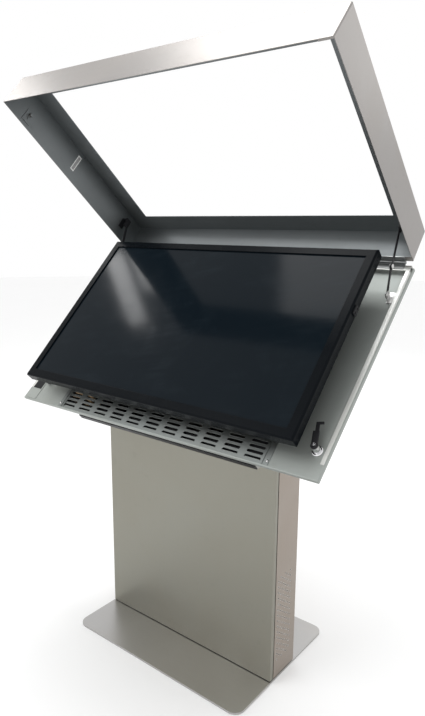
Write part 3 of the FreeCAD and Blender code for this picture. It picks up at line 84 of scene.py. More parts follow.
class Finish:
    """A node material: a Principled shader and short ways to feed it."""

    def __init__(self, name, colour, metallic=0.0, roughness=0.5, **sockets):
        self.material = bpy.data.materials.new(name)
        self.material.use_nodes = True
        self.material.diffuse_color = (*colour, 1)
        self.tree = self.material.node_tree
        self.tree.nodes.clear()
        self.shader = self.node("ShaderNodeBsdfPrincipled")
        output = self.node("ShaderNodeOutputMaterial")
        self.tree.links.new(self.shader.outputs["BSDF"], output.inputs["Surface"])
        self.shader.inputs["Base Color"].default_value = (*colour, 1)
        self.shader.inputs["Metallic"].default_value = metallic
        self.shader.inputs["Roughness"].default_value = roughness
        for socket, value in sockets.items():
            self.shader.inputs[socket.replace("_", " ")].default_value = value
        coordinates = self.node("ShaderNodeTexCoord")
        self.place = coordinates.outputs["Object"]
        self.outward = coordinates.outputs["Normal"]
        self.height = None

    def node(self, kind, **settings):
        made = self.tree.nodes.new(kind)
        for key, value in settings.items():
            setattr(made, key, value)
        return made

    def link(self, source, target):
        self.tree.links.new(source, target)

    def turned(self, turn=(0, 0, 0), scale=(1, 1, 1)):
        """Object coordinates turned by `turn` radians and then stretched."""
        place = self.place
        if any(turn):
            spin = self.node("ShaderNodeMapping", vector_type="TEXTURE")
            spin.inputs["Rotation"].default_value = turn
            self.link(place, spin.inputs["Vector"])
            place = spin.outputs["Vector"]
        stretch = self.node("ShaderNodeMapping")
        stretch.inputs["Scale"].default_value = scale
        self.link(place, stretch.inputs["Vector"])
        return stretch.outputs["Vector"]

    def noise(self, place, scale, detail=4.0, rough=0.55, warp=0.0):
        made = self.node("ShaderNodeTexNoise")
        made.inputs["Scale"].default_value = scale
        made.inputs["Detail"].default_value = detail
        made.inputs["Roughness"].default_value = rough
        made.inputs["Distortion"].default_value = warp
        self.link(place, made.inputs["Vector"])
        return made.outputs["Fac"]

    def remap(self, value, low, high, start=0.0, end=1.0):
        """A value between low and high, spread over start to end."""
        made = self.node("ShaderNodeMapRange")
        for socket, number in (("From Min", low), ("From Max", high), ("To Min", start), ("To Max", end)):
            made.inputs[socket].default_value = number
        self.link(value, made.inputs["Value"])
        return made.outputs["Result"]

    def sum(self, first, second, operation="ADD"):
        made = self.node("ShaderNodeMath", operation=operation)
        for socket, value in zip(made.inputs, (first, second)):
            if isinstance(value, (int, float)):
                socket.default_value = value
            else:
                self.link(value, socket)
        return made.outputs[0]

    def mix(self, share, first, second, blend="MIX"):
        """Colour between two, by a share from 0 to 1."""
        made = self.node("ShaderNodeMix", data_type="RGBA", blend_type=blend)
        self.link(share, made.inputs[0])
        for socket, value in ((made.inputs[6], first), (made.inputs[7], second)):
            if isinstance(value, tuple):
                socket.default_value = (*value, 1)
            else:
                self.link(value, socket)
        return made.outputs[2]

    def facing(self, point):
        """1 on faces that look towards a point, 0 on faces that look away from it."""
        to_point = self.node("ShaderNodeVectorMath", operation="SUBTRACT")
        to_point.inputs[0].default_value = point
        self.link(self.place, to_point.inputs[1])
        match = self.node("ShaderNodeVectorMath", operation="DOT_PRODUCT")
        self.link(to_point.outputs["Vector"], match.inputs[0])
        self.link(self.outward, match.inputs[1])
        return self.sum(match.outputs["Value"], 0, "GREATER_THAN")

    def paint(self, colour):
        self.link(colour, self.shader.inputs["Base Color"])

    def polish(self, roughness):
        self.link(roughness, self.shader.inputs["Roughness"])

    def relief(self, height, depth, strength=1.0):
        """Bump of a given real depth; further calls stack on it."""
        bump = self.node("ShaderNodeBump")
        bump.inputs["Strength"].default_value = strength
        bump.inputs["Distance"].default_value = depth
        self.link(height, bump.inputs["Height"])
        if self.height is not None:
            self.link(self.height, bump.inputs["Normal"])
        self.height = bump.outputs["Normal"]
        self.link(self.height, self.shader.inputs["Normal"])


def tone(colour, factor):
    return tuple(min(1.0, part * factor) for part in colour)


# ---------------------------------------------------------------- finishes


# Painted shade: the darker colour given to faces inside a hollow part, such as the open lid.
INSIDE_PAINTED_SHADE = (0.215, 0.23, 0.235)
INSIDE_DULLNESS = 0.14
HANDLED_DULLNESS = 0.08


def ground_steel(
    name, colour, grain, turn=(0, 0, 0), roughness=0.34, contrast=0.03, metallic=1.0, hollow=None
):
    """Satin-ground stainless steel; grain is the pattern's scale along x, y and z, small along the grinding.

    Faces that look towards the point `hollow` are the inside of a hollow part; they get painted shade, a
    darker colour standing in for the shade there, and a duller gloss.
    """
    steel = Finish(name, colour, metallic=metallic, roughness=roughness)
    lines = steel.noise(steel.turned(turn, grain), 1.0, detail=3.0, rough=0.6)
    broad = steel.noise(steel.turned(turn, tuple(0.14 * part for part in grain)), 1.0, detail=2.0)
    handled = steel.noise(steel.place, 3.4, detail=5.0, rough=0.6, warp=0.4)
    spots = steel.noise(steel.place, 46.0, detail=3.0, rough=0.5)
    streaks = steel.remap(lines, 0.3, 0.7)
    bands = steel.remap(broad, 0.35, 0.65)
    worn = steel.remap(handled, 0.35, 0.7)
    base = steel.mix(streaks, tone(colour, 1 - contrast), tone(colour, 1 + contrast))
    base = steel.mix(steel.sum(bands, contrast * 4, "MULTIPLY"), base, tone(colour, 0.93))
    dusty = (colour[0] * 1.05, colour[1] * 1.0, colour[2] * 0.94)
    base = steel.mix(steel.sum(worn, 0.35, "MULTIPLY"), base, dusty)
    gloss = steel.remap(streaks, 0.0, 1.0, roughness - 0.04, roughness + 0.05)
    if hollow is not None:
        # Painted shade: faces looking towards `hollow` take the darker colour.
        inside = steel.facing(hollow)
        base = steel.mix(inside, base, INSIDE_PAINTED_SHADE)
        gloss = steel.sum(gloss, steel.sum(inside, INSIDE_DULLNESS, "MULTIPLY"))
    steel.paint(base)
    gloss = steel.sum(gloss, steel.remap(worn, 0.0, 1.0, -0.02, HANDLED_DULLNESS))
    gloss = steel.sum(gloss, steel.remap(spots, 0.62, 0.75, 0.0, 0.07))
    steel.polish(gloss)
    steel.relief(lines, 0.00003, 0.25)
    steel.relief(handled, 0.0010, 0.12)
    return steel.material


def plated(name, colour, roughness, mottle=0.12):
    """Zinc or chrome plate with a faint crystalline mottle."""
    plate = Finish(name, colour, metallic=1.0, roughness=roughness)
    cells = plate.node("ShaderNodeTexVoronoi")
    cells.inputs["Scale"].default_value = 420.0
    plate.link(plate.place, cells.inputs["Vector"])
    clouds = plate.noise(plate.place, 60.0, detail=4.0)
    patch = plate.sum(plate.remap(cells.outputs["Distance"], 0.0, 0.7), 0.4, "MULTIPLY")
    plate.paint(plate.mix(plate.sum(patch, plate.remap(clouds, 0.4, 0.7)), colour, tone(colour, 1 - mottle)))
    plate.polish(plate.remap(clouds, 0.3, 0.7, roughness * 0.75, roughness * 1.35))
    plate.relief(clouds, 0.0001, 0.2)
    return plate.material


def coated(name, colour, roughness=0.5, grain=900.0, depth=0.00006, specular=0.5):
    """Powder coat or moulded grain: fine pebbling, slight clouding and dust on what faces up."""
    skin = Finish(name, colour, roughness=roughness, Specular_IOR_Level=specular)
    pebble = skin.noise(skin.place, grain, detail=2.0)
    clouds = skin.noise(skin.place, 9.0, detail=5.0, rough=0.6)
    facing = skin.node("ShaderNodeSeparateXYZ")
    skin.link(skin.node("ShaderNodeNewGeometry").outputs["Normal"], facing.inputs[0])
    upward = skin.remap(facing.outputs["Z"], 0.75, 1.0, 0.0, 0.12)
    dust = skin.sum(upward, skin.remap(clouds, 0.4, 0.65), "MULTIPLY")
    lighter = tuple(min(1.0, part * 0.8 + 0.05) for part in colour)
    base = skin.mix(skin.remap(pebble, 0.3, 0.7), tone(colour, 0.85), tone(colour, 1.12))
    skin.paint(skin.mix(dust, base, lighter))
    gloss = skin.remap(clouds, 0.3, 0.7, roughness - 0.06, roughness + 0.08)
    skin.polish(skin.sum(gloss, skin.remap(pebble, 0.3, 0.7, -0.03, 0.03)))
    skin.relief(pebble, depth, 0.6)
    return skin.material


def screen_glass():
    """Dark screen: a finely matted sheet with faint wiping marks."""
    glass = Finish("screen_glass", (0.005, 0.009, 0.013), roughness=0.13, Specular_IOR_Level=0.07)
    strokes = glass.turned((SCREEN_TILT, 0, math.radians(24)), (5.0, 38.0, 5.0))
    wipes = glass.noise(strokes, 1.0, detail=5.0, rough=0.62, warp=0.6)
    smears = glass.noise(glass.place, 5.0, detail=6.0, rough=0.66, warp=1.2)
    film = glass.sum(glass.remap(wipes, 0.42, 0.66), glass.remap(smears, 0.45, 0.7), "MULTIPLY")
    glass.paint(glass.mix(film, (0.0045, 0.0080, 0.0115), (0.0085, 0.0135, 0.018)))
    glass.polish(glass.remap(film, 0.0, 1.0, 0.11, 0.19))
    glass.relief(glass.noise(glass.place, 1500.0, detail=1.0), 0.00001, 0.2)
    return glass.material


def rubber_lead():
    lead = Finish("tan_lead", (0.50, 0.33, 0.17), roughness=0.45)
    stripe = lead.noise(lead.place, 130.0, detail=4.0)
    lead.paint(lead.mix(lead.remap(stripe, 0.35, 0.65), (0.42, 0.26, 0.13), (0.58, 0.41, 0.24)))
    lead.polish(lead.remap(stripe, 0.3, 0.7, 0.36, 0.55))
    lead.relief(stripe, 0.0003, 0.3)
    return lead.material


FIELD_HALF_WIDTH = 4.8 * MM
FIELD_HALF_LENGTH = 24.5 * MM


def paper_label():
    """A blank label: a white border round a plain grey field, with a faintly dirty edge."""
    paper = Finish("paper_label", (0.82, 0.82, 0.80), roughness=0.62)
    fibre = paper.noise(paper.place, 700.0, detail=3.0)
    soil = paper.noise(paper.place, 70.0, detail=4.0)
    local = paper.node("ShaderNodeMapping", vector_type="TEXTURE")
    local.inputs["Location"].default_value = middle_of("lid_label")
    local.inputs["Rotation"].default_value = (LID_TILT, 0, 0)
    paper.link(paper.place, local.inputs["Vector"])
    parts = paper.node("ShaderNodeSeparateXYZ")
    paper.link(local.outputs["Vector"], parts.inputs[0])
    across = paper.sum(paper.sum(parts.outputs["Y"], 0, "ABSOLUTE"), FIELD_HALF_WIDTH, "LESS_THAN")
    along = paper.sum(paper.sum(parts.outputs["Z"], 0, "ABSOLUTE"), FIELD_HALF_LENGTH, "LESS_THAN")
    clean = paper.mix(paper.remap(fibre, 0.3, 0.7), (0.80, 0.80, 0.78), (0.89, 0.89, 0.87))
    field = paper.mix(paper.sum(across, along, "MULTIPLY"), clean, (0.30, 0.30, 0.30))
    paper.paint(paper.mix(paper.remap(soil, 0.55, 0.8), field, (0.50, 0.49, 0.46)))
    paper.relief(fibre, 0.00005, 0.4)
    return paper.material


ALONG_X = (6.0, 700.0, 700.0)
ALONG_Y = (700.0, 6.0, 700.0)
ALONG_Z = (700.0, 700.0, 6.0)
ON_DECK = (DECK_TILT, 0, 0)
ON_LID = (LID_TILT, 0, 0)
BASE = ground_steel("base_ground_steel", (0.46, 0.455, 0.45), ALONG_X, roughness=0.32)
COVER = ground_steel("cover_ground_steel", (0.265, 0.261, 0.226), ALONG_Z, roughness=0.34, contrast=0.012)
SHELL = ground_steel("shell_ground_steel", (0.33, 0.29, 0.255), ALONG_Z, roughness=0.38, contrast=0.012)
HOUSING = ground_steel("housing_ground_steel", (0.30, 0.30, 0.285), ALONG_X, roughness=0.38, contrast=0.02)
DECK = ground_steel("deck_ground_steel", (0.34, 0.365, 0.35), ALONG_X, ON_DECK, roughness=0.5, metallic=0.7)
# Painted highlight: the rails are the deck's steel made much lighter, standing in for the highlight their
# edges catch.
RAIL_PAINTED_HIGHLIGHT = ground_steel("rail_steel_painted_highlight", (0.62, 0.63, 0.61), ALONG_Y, ON_DECK, metallic=0.85)
GRILLE = ground_steel("grille_ground_steel", (0.27, 0.29, 0.285), ALONG_X, ON_DECK, roughness=0.44)
# The lid's inside faces get painted shade through `hollow`.
LID = ground_steel("lid_ground_steel", (0.335, 0.32, 0.31), ALONG_X, ON_LID, roughness=0.36, hollow=LID_MIDDLE)
FRAME_ZINC = plated("frame_zinc", (0.50, 0.51, 0.52), 0.42)
ZINC = plated("bright_zinc", (0.78, 0.78, 0.77), 0.28)
CHROME = plated("chrome_plate", (0.80, 0.80, 0.81), 0.1, mottle=0.05)
HINGE_STEEL = plated("hinge_steel", (0.34, 0.35, 0.35), 0.36)
BLACK_COAT = coated("black_powder_coat", (0.010, 0.010, 0.012), 0.45, specular=0.3)
BLACK_MOULD = coated("black_moulding", (0.009, 0.0095, 0.011), 0.5, grain=1300.0, specular=0.2)
BEZEL = coated("bezel_moulding", (0.0032, 0.0045, 0.0060), 0.26, grain=1700.0, depth=0.00002, specular=0.05)
PANEL = coated("panel_film", (0.01, 0.01, 0.012), 0.6)
CASE = coated("case_black_paint", (0.016, 0.016, 0.018), 0.52, grain=650.0, specular=0.35)
STRIP = coated("light_moulding", (0.62, 0.62, 0.59), 0.45, grain=1000.0)
GLASS = screen_glass()
LEAD = rubber_lead()
LABEL = paper_label()

FINISHES = {
    "base_steel": BASE, "cover_steel": COVER, "shell_steel": SHELL, "deck_steel": DECK, "lid_steel": LID,
    "grille_steel": GRILLE, "frame_zinc": FRAME_ZINC, "fastener_zinc": ZINC, "black_steel": BLACK_COAT,
    "chrome": CHROME, "hinge_steel": HINGE_STEEL, "black_plastic": BLACK_MOULD, "bezel_plastic": BEZEL,
    "touch_glass": GLASS, "panel_black": PANEL, "case_black": CASE, "strip_plastic": STRIP,
    "cable_tan": LEAD, "label_white": LABEL,
}
# The rails' own finish is the painted highlight above.
OWN_FINISH = {"housing": HOUSING, "side_rails": RAIL_PAINTED_HIGHLIGHT, "hinge_rail": RAIL_PAINTED_HIGHLIGHT}
SLOTS = {row["node"]: row["material_slot"] for row in frame["record"]["subparts"]}
BODY_OF = {node: body for body, nodes in frame["record"]["behaviour"]["bodies"].items() for node in nodes}


def finish_of(node):
    return OWN_FINISH.get(node, FINISHES[SLOTS[node]])


for node, piece in frame["nodes"].items():
    piece.data.materials.clear()
    piece.data.materials.append(finish_of(node))


# ---------------------------------------------------------------- finer pieces


MERGE_WITHIN = 0.00002
FLAT_WITHIN = math.radians(0.8)
SHARP_FROM = math.radians(35)


def add_piece(name, mesh, node, finish=None, stands_for=True):
    """A finished piece that takes its body and slot from a CAD node, and stands for it if asked."""
    piece = bpy.data.objects.new(name, mesh)
    bpy.context.scene.collection.objects.link(piece)
    mesh.materials.clear()
    mesh.materials.append(finish or finish_of(node))
    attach(piece, BODY_OF[node])
    if stands_for:
        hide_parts(node)
    return piece


def clean_copy(node):
    """The CAD node's faces with their doubles merged and flat areas made whole."""
    mesh = frame["nodes"][node].data.copy()
    work = bmesh.new()
    work.from_mesh(mesh)
    bmesh.ops.remove_doubles(work, verts=work.verts, dist=MERGE_WITHIN)
    bmesh.ops.dissolve_limit(work, angle_limit=FLAT_WITHIN, verts=work.verts, edges=work.edges)
    work.to_mesh(mesh)
    work.free()
    return mesh


def softened(name, node, width):
    """The node with its sharp edges rounded by `width` millimetres."""
    piece = add_piece(name, clean_copy(node), node)
    bevel = piece.modifiers.new("edges", "BEVEL")
    bevel.width = width * MM
    bevel.segments = 2
    bevel.limit_method = "ANGLE"
    bevel.angle_limit = SHARP_FROM
    bevel.use_clamp_overlap = True
    weighted = piece.modifiers.new("flat_faces", "WEIGHTED_NORMAL")
    weighted.weight = 100
    weighted.keep_sharp = True
    for face in piece.data.polygons:
        face.use_smooth = True
    return piece


for name, node, width in (
    ("lid_sheet", "lid_frame", 0.45),
    ("base_sheet", "base_plate", 0.8),
    ("bezel_moulding", "display_bezel", 0.9),
    ("lock_hook", "lock_cam", 0.5),
    ("lock_ring", "lock_nut", 0.4),
    ("edge_strip", "housing_edge_strip", 0.5),
    ("control_block", "side_control", 0.6),
    ("cover_sheet", "front_cover", 0.3),
    ("housing_sheet", "housing", 0.35),
    ("side_rail_pair", "side_rails", 0.4),
    ("hinge_channel", "hinge_rail", 0.4),
    ("corner_blank", "corner_cap", 0.4),
    ("corner_sheet", "corner_doubler", 0.3),
    ("corner_catch", "deck_clip", 0.3),
    ("striker_sheet", "lid_striker", 0.3),
    ("keeper_angle", "lid_keeper", 0.3),
    ("saddle_pair", "deck_saddles", 0.5),
    ("foot_bracket_pair", "stay_foot_brackets", 0.3),
    ("head_bracket_pair", "stay_head_brackets", 0.3),
    ("lower_arm_right", "stay_lower_right", 0.3),
    ("upper_arm_right", "stay_upper_right", 0.3),
    ("lower_arm_left", "stay_lower_left", 0.3),
    ("upper_arm_left", "stay_upper_left", 0.3),
    ("knee_rivet_right", "stay_knee_right", 0.35),
    ("knee_rivet_left", "stay_knee_left", 0.35),
    ("foot_rivet_right", "stay_foot_pin_right", 0.35),
    ("foot_rivet_left", "stay_foot_pin_left", 0.35),
    ("computer_case", "computer", 0.5),
    ("mains_strip_case", "power_strip", 0.5),
    ("inlet_moulding", "power_inlet", 0.4),
    ("rear_cover_sheet", "display_rear_cover", 0.5),
):
    softened(name, node, width)


# ---------------------------------------------------------------- repeated details, made by node trees


class Pattern:
    """A Geometry Nodes tree with named sizes that sets one small part on a grid of places."""

    def __init__(self, name, sizes):
        self.group = bpy.data.node_groups.new(name, "GeometryNodeTree")
        self.group.interface.new_socket("Geometry", in_out="OUTPUT", socket_type="NodeSocketGeometry")
        self.sizes = sizes
        self.keys = {}
        for label, value in sizes.items():
            kind = "NodeSocketInt" if isinstance(value, int) else "NodeSocketFloat"
            socket = self.group.interface.new_socket(label, in_out="INPUT", socket_type=kind)
            socket.default_value = value
            self.keys[label] = socket.identifier
        self.inputs = self.node("NodeGroupInput").outputs

    def node(self, kind, feeds=(), **settings):
        """A node with its settings, and `feeds` of (socket, source or value) pairs."""
        made = self.group.nodes.new(kind)
        for key, value in settings.items():
            setattr(made, key, value)
        for socket, value in feeds:
            self.feed(value, made.inputs[socket])
        return made

    def feed(self, value, socket):
        if isinstance(value, str):
            value = self.inputs[value]
        if isinstance(value, bpy.types.NodeSocket):
            self.group.links.new(value, socket)
        else:
            socket.default_value = value

    def math(self, operation, first, second=0.0):
        return self.node("ShaderNodeMath", ((0, first), (1, second)), operation=operation).outputs[0]

    def vector(self, x=0.0, y=0.0, z=0.0):
        return self.node("ShaderNodeCombineXYZ", ((0, x), (1, y), (2, z))).outputs[0]

    def moved(self, geometry, place):
        shift = self.node("GeometryNodeTransform", (("Geometry", geometry), ("Translation", place)))
        return shift.outputs["Geometry"]

    def joined(self, *pieces):
        union = self.node("GeometryNodeJoinGeometry")
        for piece in pieces:
            self.group.links.new(piece, union.inputs[0])
        return union.outputs[0]

    def places(self, stagger=False):
        """Points `across` by `up`; in a staggered field every second column is half a step higher."""
        wide = self.math("MULTIPLY", self.math("SUBTRACT", "columns", 1.0), "pitch across")
        high = self.math("MULTIPLY", self.math("SUBTRACT", "rows", 1.0), "pitch up")
        sizes = (("Size X", wide), ("Size Y", high), ("Vertices X", "columns"), ("Vertices Y", "rows"))
        points = self.node("GeometryNodeMeshGrid", sizes).outputs["Mesh"]
        if not stagger:
            return points
        split = self.node("ShaderNodeSeparateXYZ", ((0, self.node("GeometryNodeInputPosition").outputs[0]),))
        start = self.math("ADD", split.outputs["X"], self.math("MULTIPLY", wide, 0.5))
        column = self.math("ROUND", self.math("DIVIDE", start, "pitch across"))
        odd = self.math("FLOORED_MODULO", column, 2.0)
        lift = self.math("MULTIPLY", self.math("MULTIPLY", odd, 0.5), "pitch up")
        shift = self.node("GeometryNodeSetPosition", (("Geometry", points), ("Offset", self.vector(y=lift))))
        return shift.outputs["Geometry"]

    def cylinder(self, sides, radius, depth):
        sizes = (("Vertices", sides), ("Radius", radius), ("Depth", depth))
        return self.node("GeometryNodeMeshCylinder", sizes).outputs["Mesh"]

    def cone(self, sides, top, bottom, depth):
        sizes = (("Vertices", sides), ("Radius Top", top), ("Radius Bottom", bottom), ("Depth", depth))
        return self.node("GeometryNodeMeshCone", sizes).outputs["Mesh"]

    def tube_along(self, curve, radius):
        """A thin six-sided bead that follows a closed curve."""
        section = self.node("GeometryNodeCurvePrimitiveCircle", (("Resolution", 6), ("Radius", radius)))
        feeds = (("Curve", curve), ("Profile Curve", section.outputs["Curve"]))
        return self.node("GeometryNodeCurveToMesh", feeds).outputs["Mesh"]

    def finish(self, points, part, material):
        """Set the part on every point, make it real and give it its material."""
        spread = self.node("GeometryNodeInstanceOnPoints", (("Points", points), ("Instance", part)))
        real = self.node("GeometryNodeRealizeInstances", ((0, spread.outputs["Instances"]),)).outputs[0]
        real = self.node("GeometryNodeSetShadeSmooth", (("Geometry", real),)).outputs["Geometry"]
        final = self.node("GeometryNodeSetMaterial", (("Geometry", real), ("Material", material)))
        output = self.node("NodeGroupOutput")
        self.group.links.new(final.outputs["Geometry"], output.inputs[0])

    def mesh(self, name, *places, **sizes):
        """The pattern's mesh with these sizes, once at each place."""
        work = bmesh.new()
        wanted = {**self.sizes, **{key.replace("_", " "): value for key, value in sizes.items()}}
        for place in places:
            carrier = bpy.data.objects.new(name, bpy.data.meshes.new(name))
            bpy.context.scene.collection.objects.link(carrier)
            modifier = carrier.modifiers.new("pattern", "NODES")
            modifier.node_group = self.group
            for label, value in wanted.items():
                modifier[self.keys[label]] = value
            graph = bpy.context.evaluated_depsgraph_get()
            made = bpy.data.meshes.new_from_object(carrier.evaluated_get(graph))
            carrier.modifiers.remove(modifier)
            bpy.data.objects.remove(carrier)
            made.transform(place)
            work.from_mesh(made)
        bmesh.ops.recalc_face_normals(work, faces=work.faces)
        mesh = bpy.data.meshes.new(name)
        work.to_mesh(mesh)
        work.free()
        for face in mesh.polygons:
            face.use_smooth = True
        return mesh


GRID = {"columns": 2, "rows": 2, "pitch across": 0.1, "pitch up": 0.1}


def vent_rim_pattern():
    """The pressed rim round each hole of the column's side fields, in bright zinc rather than the shell's
    steel: a painted highlight for the light rings round the holes.
    """
    rims = Pattern("vent_rims", {**GRID, "hole radius": 2.5 * MM, "bead": 0.35 * MM})
    ring = rims.node("GeometryNodeCurvePrimitiveCircle", (("Resolution", 20), ("Radius", "hole radius")))
    # Painted highlight: bright zinc on rims pressed from the shell's steel.
    rims.finish(rims.places(stagger=True), rims.tube_along(ring.outputs["Curve"], "bead"), ZINC)
    return rims


def slot_rim_pattern():
    """The rolled rim round each long slot of the grille."""
    rims = Pattern("slot_rims", {**GRID, "slot length": 46 * MM, "slot width": 8.2 * MM, "bead": 0.4 * MM})
    sides = (("Width", "slot length"), ("Height", "slot width"))
    outline = rims.node("GeometryNodeCurvePrimitiveQuadrilateral", sides).outputs["Curve"]
    corners = (("Curve", outline), ("Radius", rims.math("MULTIPLY", "slot width", 0.499)))
    rounded = rims.node("GeometryNodeFilletCurve", corners, mode="POLY")
    rounded.inputs["Count"].default_value = 6
    rims.finish(rims.places(), rims.tube_along(rounded.outputs["Curve"], "bead"), GRILLE)
    return rims


def screw_pattern():
    """A pan-head screw: a straight rim, a sloping crown with a slot, and a shank below."""
    head = {"head radius": SCREW_RADIUS, "head rise": 1.8 * MM, "slot": 0.8 * MM, "shank": 7.2 * MM}
    screw = Pattern("grille_screw", {**GRID, **head})
    rim_rise = screw.math("MULTIPLY", "head rise", 0.5)
    crown_rise = screw.math("SUBTRACT", "head rise", rim_rise)
    top_radius = screw.math("MULTIPLY", "head radius", 0.7)
    rim = screw.cylinder(20, "head radius", rim_rise)
    rim = screw.moved(rim, screw.vector(z=screw.math("MULTIPLY", rim_rise, 0.5)))
    crown = screw.moved(screw.cone(20, top_radius, "head radius", crown_rise), screw.vector(z=rim_rise))
    shank = screw.cylinder(12, screw.math("MULTIPLY", "head radius", 0.45), "shank")
    shank = screw.moved(shank, screw.vector(z=screw.math("MULTIPLY", "shank", -0.5)))
    slot_size = screw.vector(screw.math("MULTIPLY", "head radius", 1.2), "slot", "slot")
    slot = screw.node("GeometryNodeMeshCube", (("Size", slot_size),)).outputs["Mesh"]
    slot = screw.moved(slot, screw.vector(z="head rise"))
    slotted = screw.node("GeometryNodeMeshBoolean", operation="DIFFERENCE")
    screw.group.links.new(crown, slotted.inputs["Mesh 1"])
    screw.group.links.new(slot, slotted.inputs["Mesh 2"])
    screw.finish(screw.places(), screw.joined(slotted.outputs["Mesh"], rim, shank), ZINC)
    return screw


def hex_bolt_pattern():
    """A six-sided bolt head on a round washer."""
    head = {"head radius": BOLT_RADIUS, "head rise": BOLT_RISE, "washer radius": 8.4 * MM}
    bolt = Pattern("foot_bolts", {**GRID, **head})
    washer_rise = 1.2 * MM
    washer = bolt.cylinder(28, "washer radius", washer_rise)
    washer = bolt.moved(washer, bolt.vector(z=washer_rise / 2))
    body_rise = bolt.math("MULTIPLY", "head rise", 0.8)
    body = bolt.cylinder(6, "head radius", body_rise)
    body = bolt.moved(body, bolt.vector(z=bolt.math("MULTIPLY", body_rise, 0.5)))
    crown_rise = bolt.math("SUBTRACT", "head rise", body_rise)
    crown = bolt.cone(6, bolt.math("MULTIPLY", "head radius", 0.82), "head radius", crown_rise)
    crown = bolt.moved(crown, bolt.vector(z=body_rise))
    bolt.finish(bolt.places(), bolt.joined(washer, body, crown), ZINC)
    return bolt


# Sizes of the repeated details, in metres.
GRILLE_TOP = 1.2 * MM
SLOT_PITCH = (65.3 * MM, 14.2 * MM)
SLOTS_FORWARD = 5.1 * MM
SCREW_RADIUS = 3.6 * MM
SCREW_PITCH_UP = 80 * MM
VENT_PITCH = (12 * MM, 17 * MM)
VENTS_BACK = 43 * MM
VENTS_UP = 173 * MM
BOLT_RADIUS = 7.2 * MM
BOLT_RISE = 5.2 * MM
BOLT_PITCH = (76 * MM, 60 * MM)


def grille_place(forward=0.0):
    """The middle of the grille's upper face, or a place that far in front of it."""
    middle = DECK_FRAME.inverted() @ middle_of("vent_grille")
    return DECK_FRAME @ Matrix.Translation((middle.x, middle.y - forward, GRILLE_TOP))


def vent_place(side):
    """The middle of a vent field, seen from outside, with the pattern's own up along Z."""
    low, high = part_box("column_shell")
    middle = Matrix.Translation((side * high.x, low.y + VENTS_BACK, low.z + VENTS_UP))
    return middle @ Matrix.Rotation(math.pi / 2, 4, "Z") @ Matrix.Rotation(math.pi / 2, 4, "X")


def foot_place(side):
    """The middle of one foot's four bolts, where their heads start."""
    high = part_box("frame_bolts")[1]
    across = high.x - BOLT_RADIUS - BOLT_PITCH[0] / 2
    return Matrix.Translation((side * across, middle_of("frame_bolts").y, high.z - BOLT_RISE))


def add_repeats():
    """The pieces that repeat: vent rims, slot rims, grille screws and the feet's bolts."""
    across, up = VENT_PITCH
    rims = vent_rim_pattern().mesh(
        "vent_rims", vent_place(1), vent_place(-1), columns=6, rows=15, pitch_across=across, pitch_up=up
    )
    # The rims' bright zinc is a painted highlight.
    add_piece("vent_rims", rims, "column_shell", finish=ZINC, stands_for=False)
    across, up = SLOT_PITCH
    slots = slot_rim_pattern().mesh(
        "slot_rims", grille_place(SLOTS_FORWARD), columns=11, rows=6, pitch_across=across, pitch_up=up
    )
    add_piece("slot_rims", slots, "vent_grille", stands_for=False)
    low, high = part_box("grille_screws")
    across = high.x - low.x - 2 * SCREW_RADIUS
    screws = screw_pattern().mesh(
        "grille_screw_heads", grille_place(), pitch_across=across, pitch_up=SCREW_PITCH_UP
    )
    add_piece("grille_screw_heads", screws, "grille_screws")
    across, up = BOLT_PITCH
    feet = hex_bolt_pattern().mesh(
        "foot_bolt_heads", foot_place(-1), foot_place(1), pitch_across=across, pitch_up=up
    )
    add_piece("foot_bolt_heads", feet, "frame_bolts", stands_for=False)


add_repeats()


# ---------------------------------------------------------------- floor, light and camera


FLOOR_RADIUS = 14
FLOOR_SIDES = 64


def floor():
    mesh = bpy.data.meshes.new("floor")
    turns = [side * math.tau / FLOOR_SIDES for side in range(FLOOR_SIDES)]
    ring = [(FLOOR_RADIUS * math.cos(turn), FLOOR_RADIUS * math.sin(turn), 0) for turn in turns]
    mesh.from_pydata(ring, [], [range(FLOOR_SIDES)])
    plane = bpy.data.objects.new("floor", mesh)
    bpy.context.scene.collection.objects.link(plane)
    pale = Finish("pale_floor", (0.95, 0.95, 0.95), roughness=0.8)
    pale.paint(pale.mix(pale.noise(pale.place, 2.0), (0.945, 0.945, 0.945), (0.96, 0.96, 0.96)))
    mesh.materials.append(pale.material)


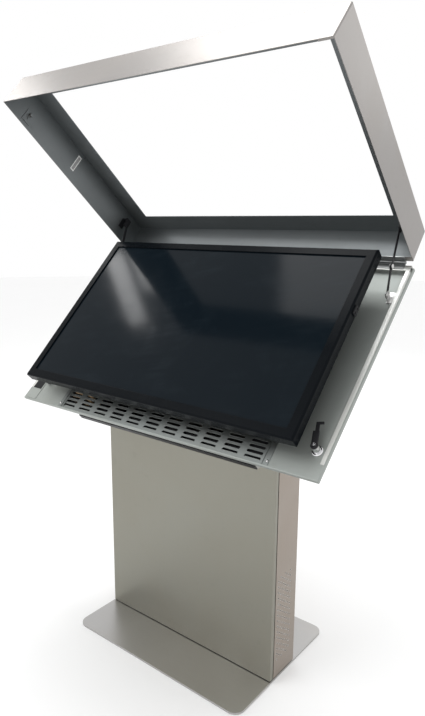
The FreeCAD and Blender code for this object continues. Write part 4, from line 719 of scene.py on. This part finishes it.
def soft_light(name, place, target, size, power, along=(0, 0, 1)):
    """A rectangular lamp aimed at `target`, with its height along the given direction."""
    data = bpy.data.lights.new(name, "AREA")
    data.shape = "RECTANGLE"
    data.size, data.size_y = size
    data.energy = power
    lamp = bpy.data.objects.new(name, data)
    back = (Vector(place) - Vector(target)).normalized()
    across = Vector(along).cross(back).normalized()
    turn = Matrix((across, back.cross(across), back)).transposed()
    lamp.matrix_world = Matrix.Translation(place) @ turn.to_4x4()
    bpy.context.scene.collection.objects.link(lamp)


def camera():
    """The eye, turned round the kiosk by its azimuth, looking down by its pitch and tilted by its roll."""
    azimuth, pitch, roll = (math.radians(angle) for angle in (38.0, 11.67, 0.49))
    level_share = math.cos(pitch)
    forward = Vector((-math.sin(azimuth) * level_share, math.cos(azimuth) * level_share, -math.sin(pitch)))
    level = Vector((math.cos(azimuth), math.sin(azimuth), 0))
    right = Matrix.Rotation(-roll, 3, forward) @ level
    up = right.cross(forward)
    data = bpy.data.cameras.new("camera")
    data.lens = 31.04
    data.sensor_width = 36
    data.shift_x = -0.0067
    data.shift_y = -0.0056
    eye = bpy.data.objects.new("camera", data)
    turn = Matrix((right, up, -forward)).transposed()
    eye.matrix_world = Matrix.Translation((1.1051, -1.3376, 1.2381)) @ turn.to_4x4()
    bpy.context.scene.collection.objects.link(eye)
    bpy.context.scene.camera = eye


def room():
    world = bpy.data.worlds.new("room")
    world.use_nodes = True
    world.node_tree.nodes["Background"].inputs["Color"].default_value = (1.0, 1.0, 1.0, 1)
    world.node_tree.nodes["Background"].inputs["Strength"].default_value = 1.0
    bpy.context.scene.world = world
    bpy.context.scene.view_settings.view_transform = "Standard"


BAR_ONE = (-1.93, -0.26, 2.6)
BAR_TWO = (-1.76, -0.12, 2.6)
floor()
room()
soft_light("key", (-1.5, -2.6, 3.4), (0, 0, 0.9), (2.2, 1.6), 30)
soft_light("overhead", (-0.45, 0.1, 3.1), (0.2, 0, 1.2), (1.0, 1.0), 13, (0, 1, 0))
soft_light("left_bar", BAR_ONE, (-0.3, 0, 1.05), (0.12, 0.5), 2.6, (-0.44, 0.9, 0))
soft_light("left_bar_far", BAR_TWO, (-0.3, 0, 1.05), (0.1, 0.28), 0.9, (-0.44, 0.9, 0))
soft_light("back", (0.5, 3.2, 2.8), (0, 0, 1.0), (2.5, 1.5), 25)
camera()
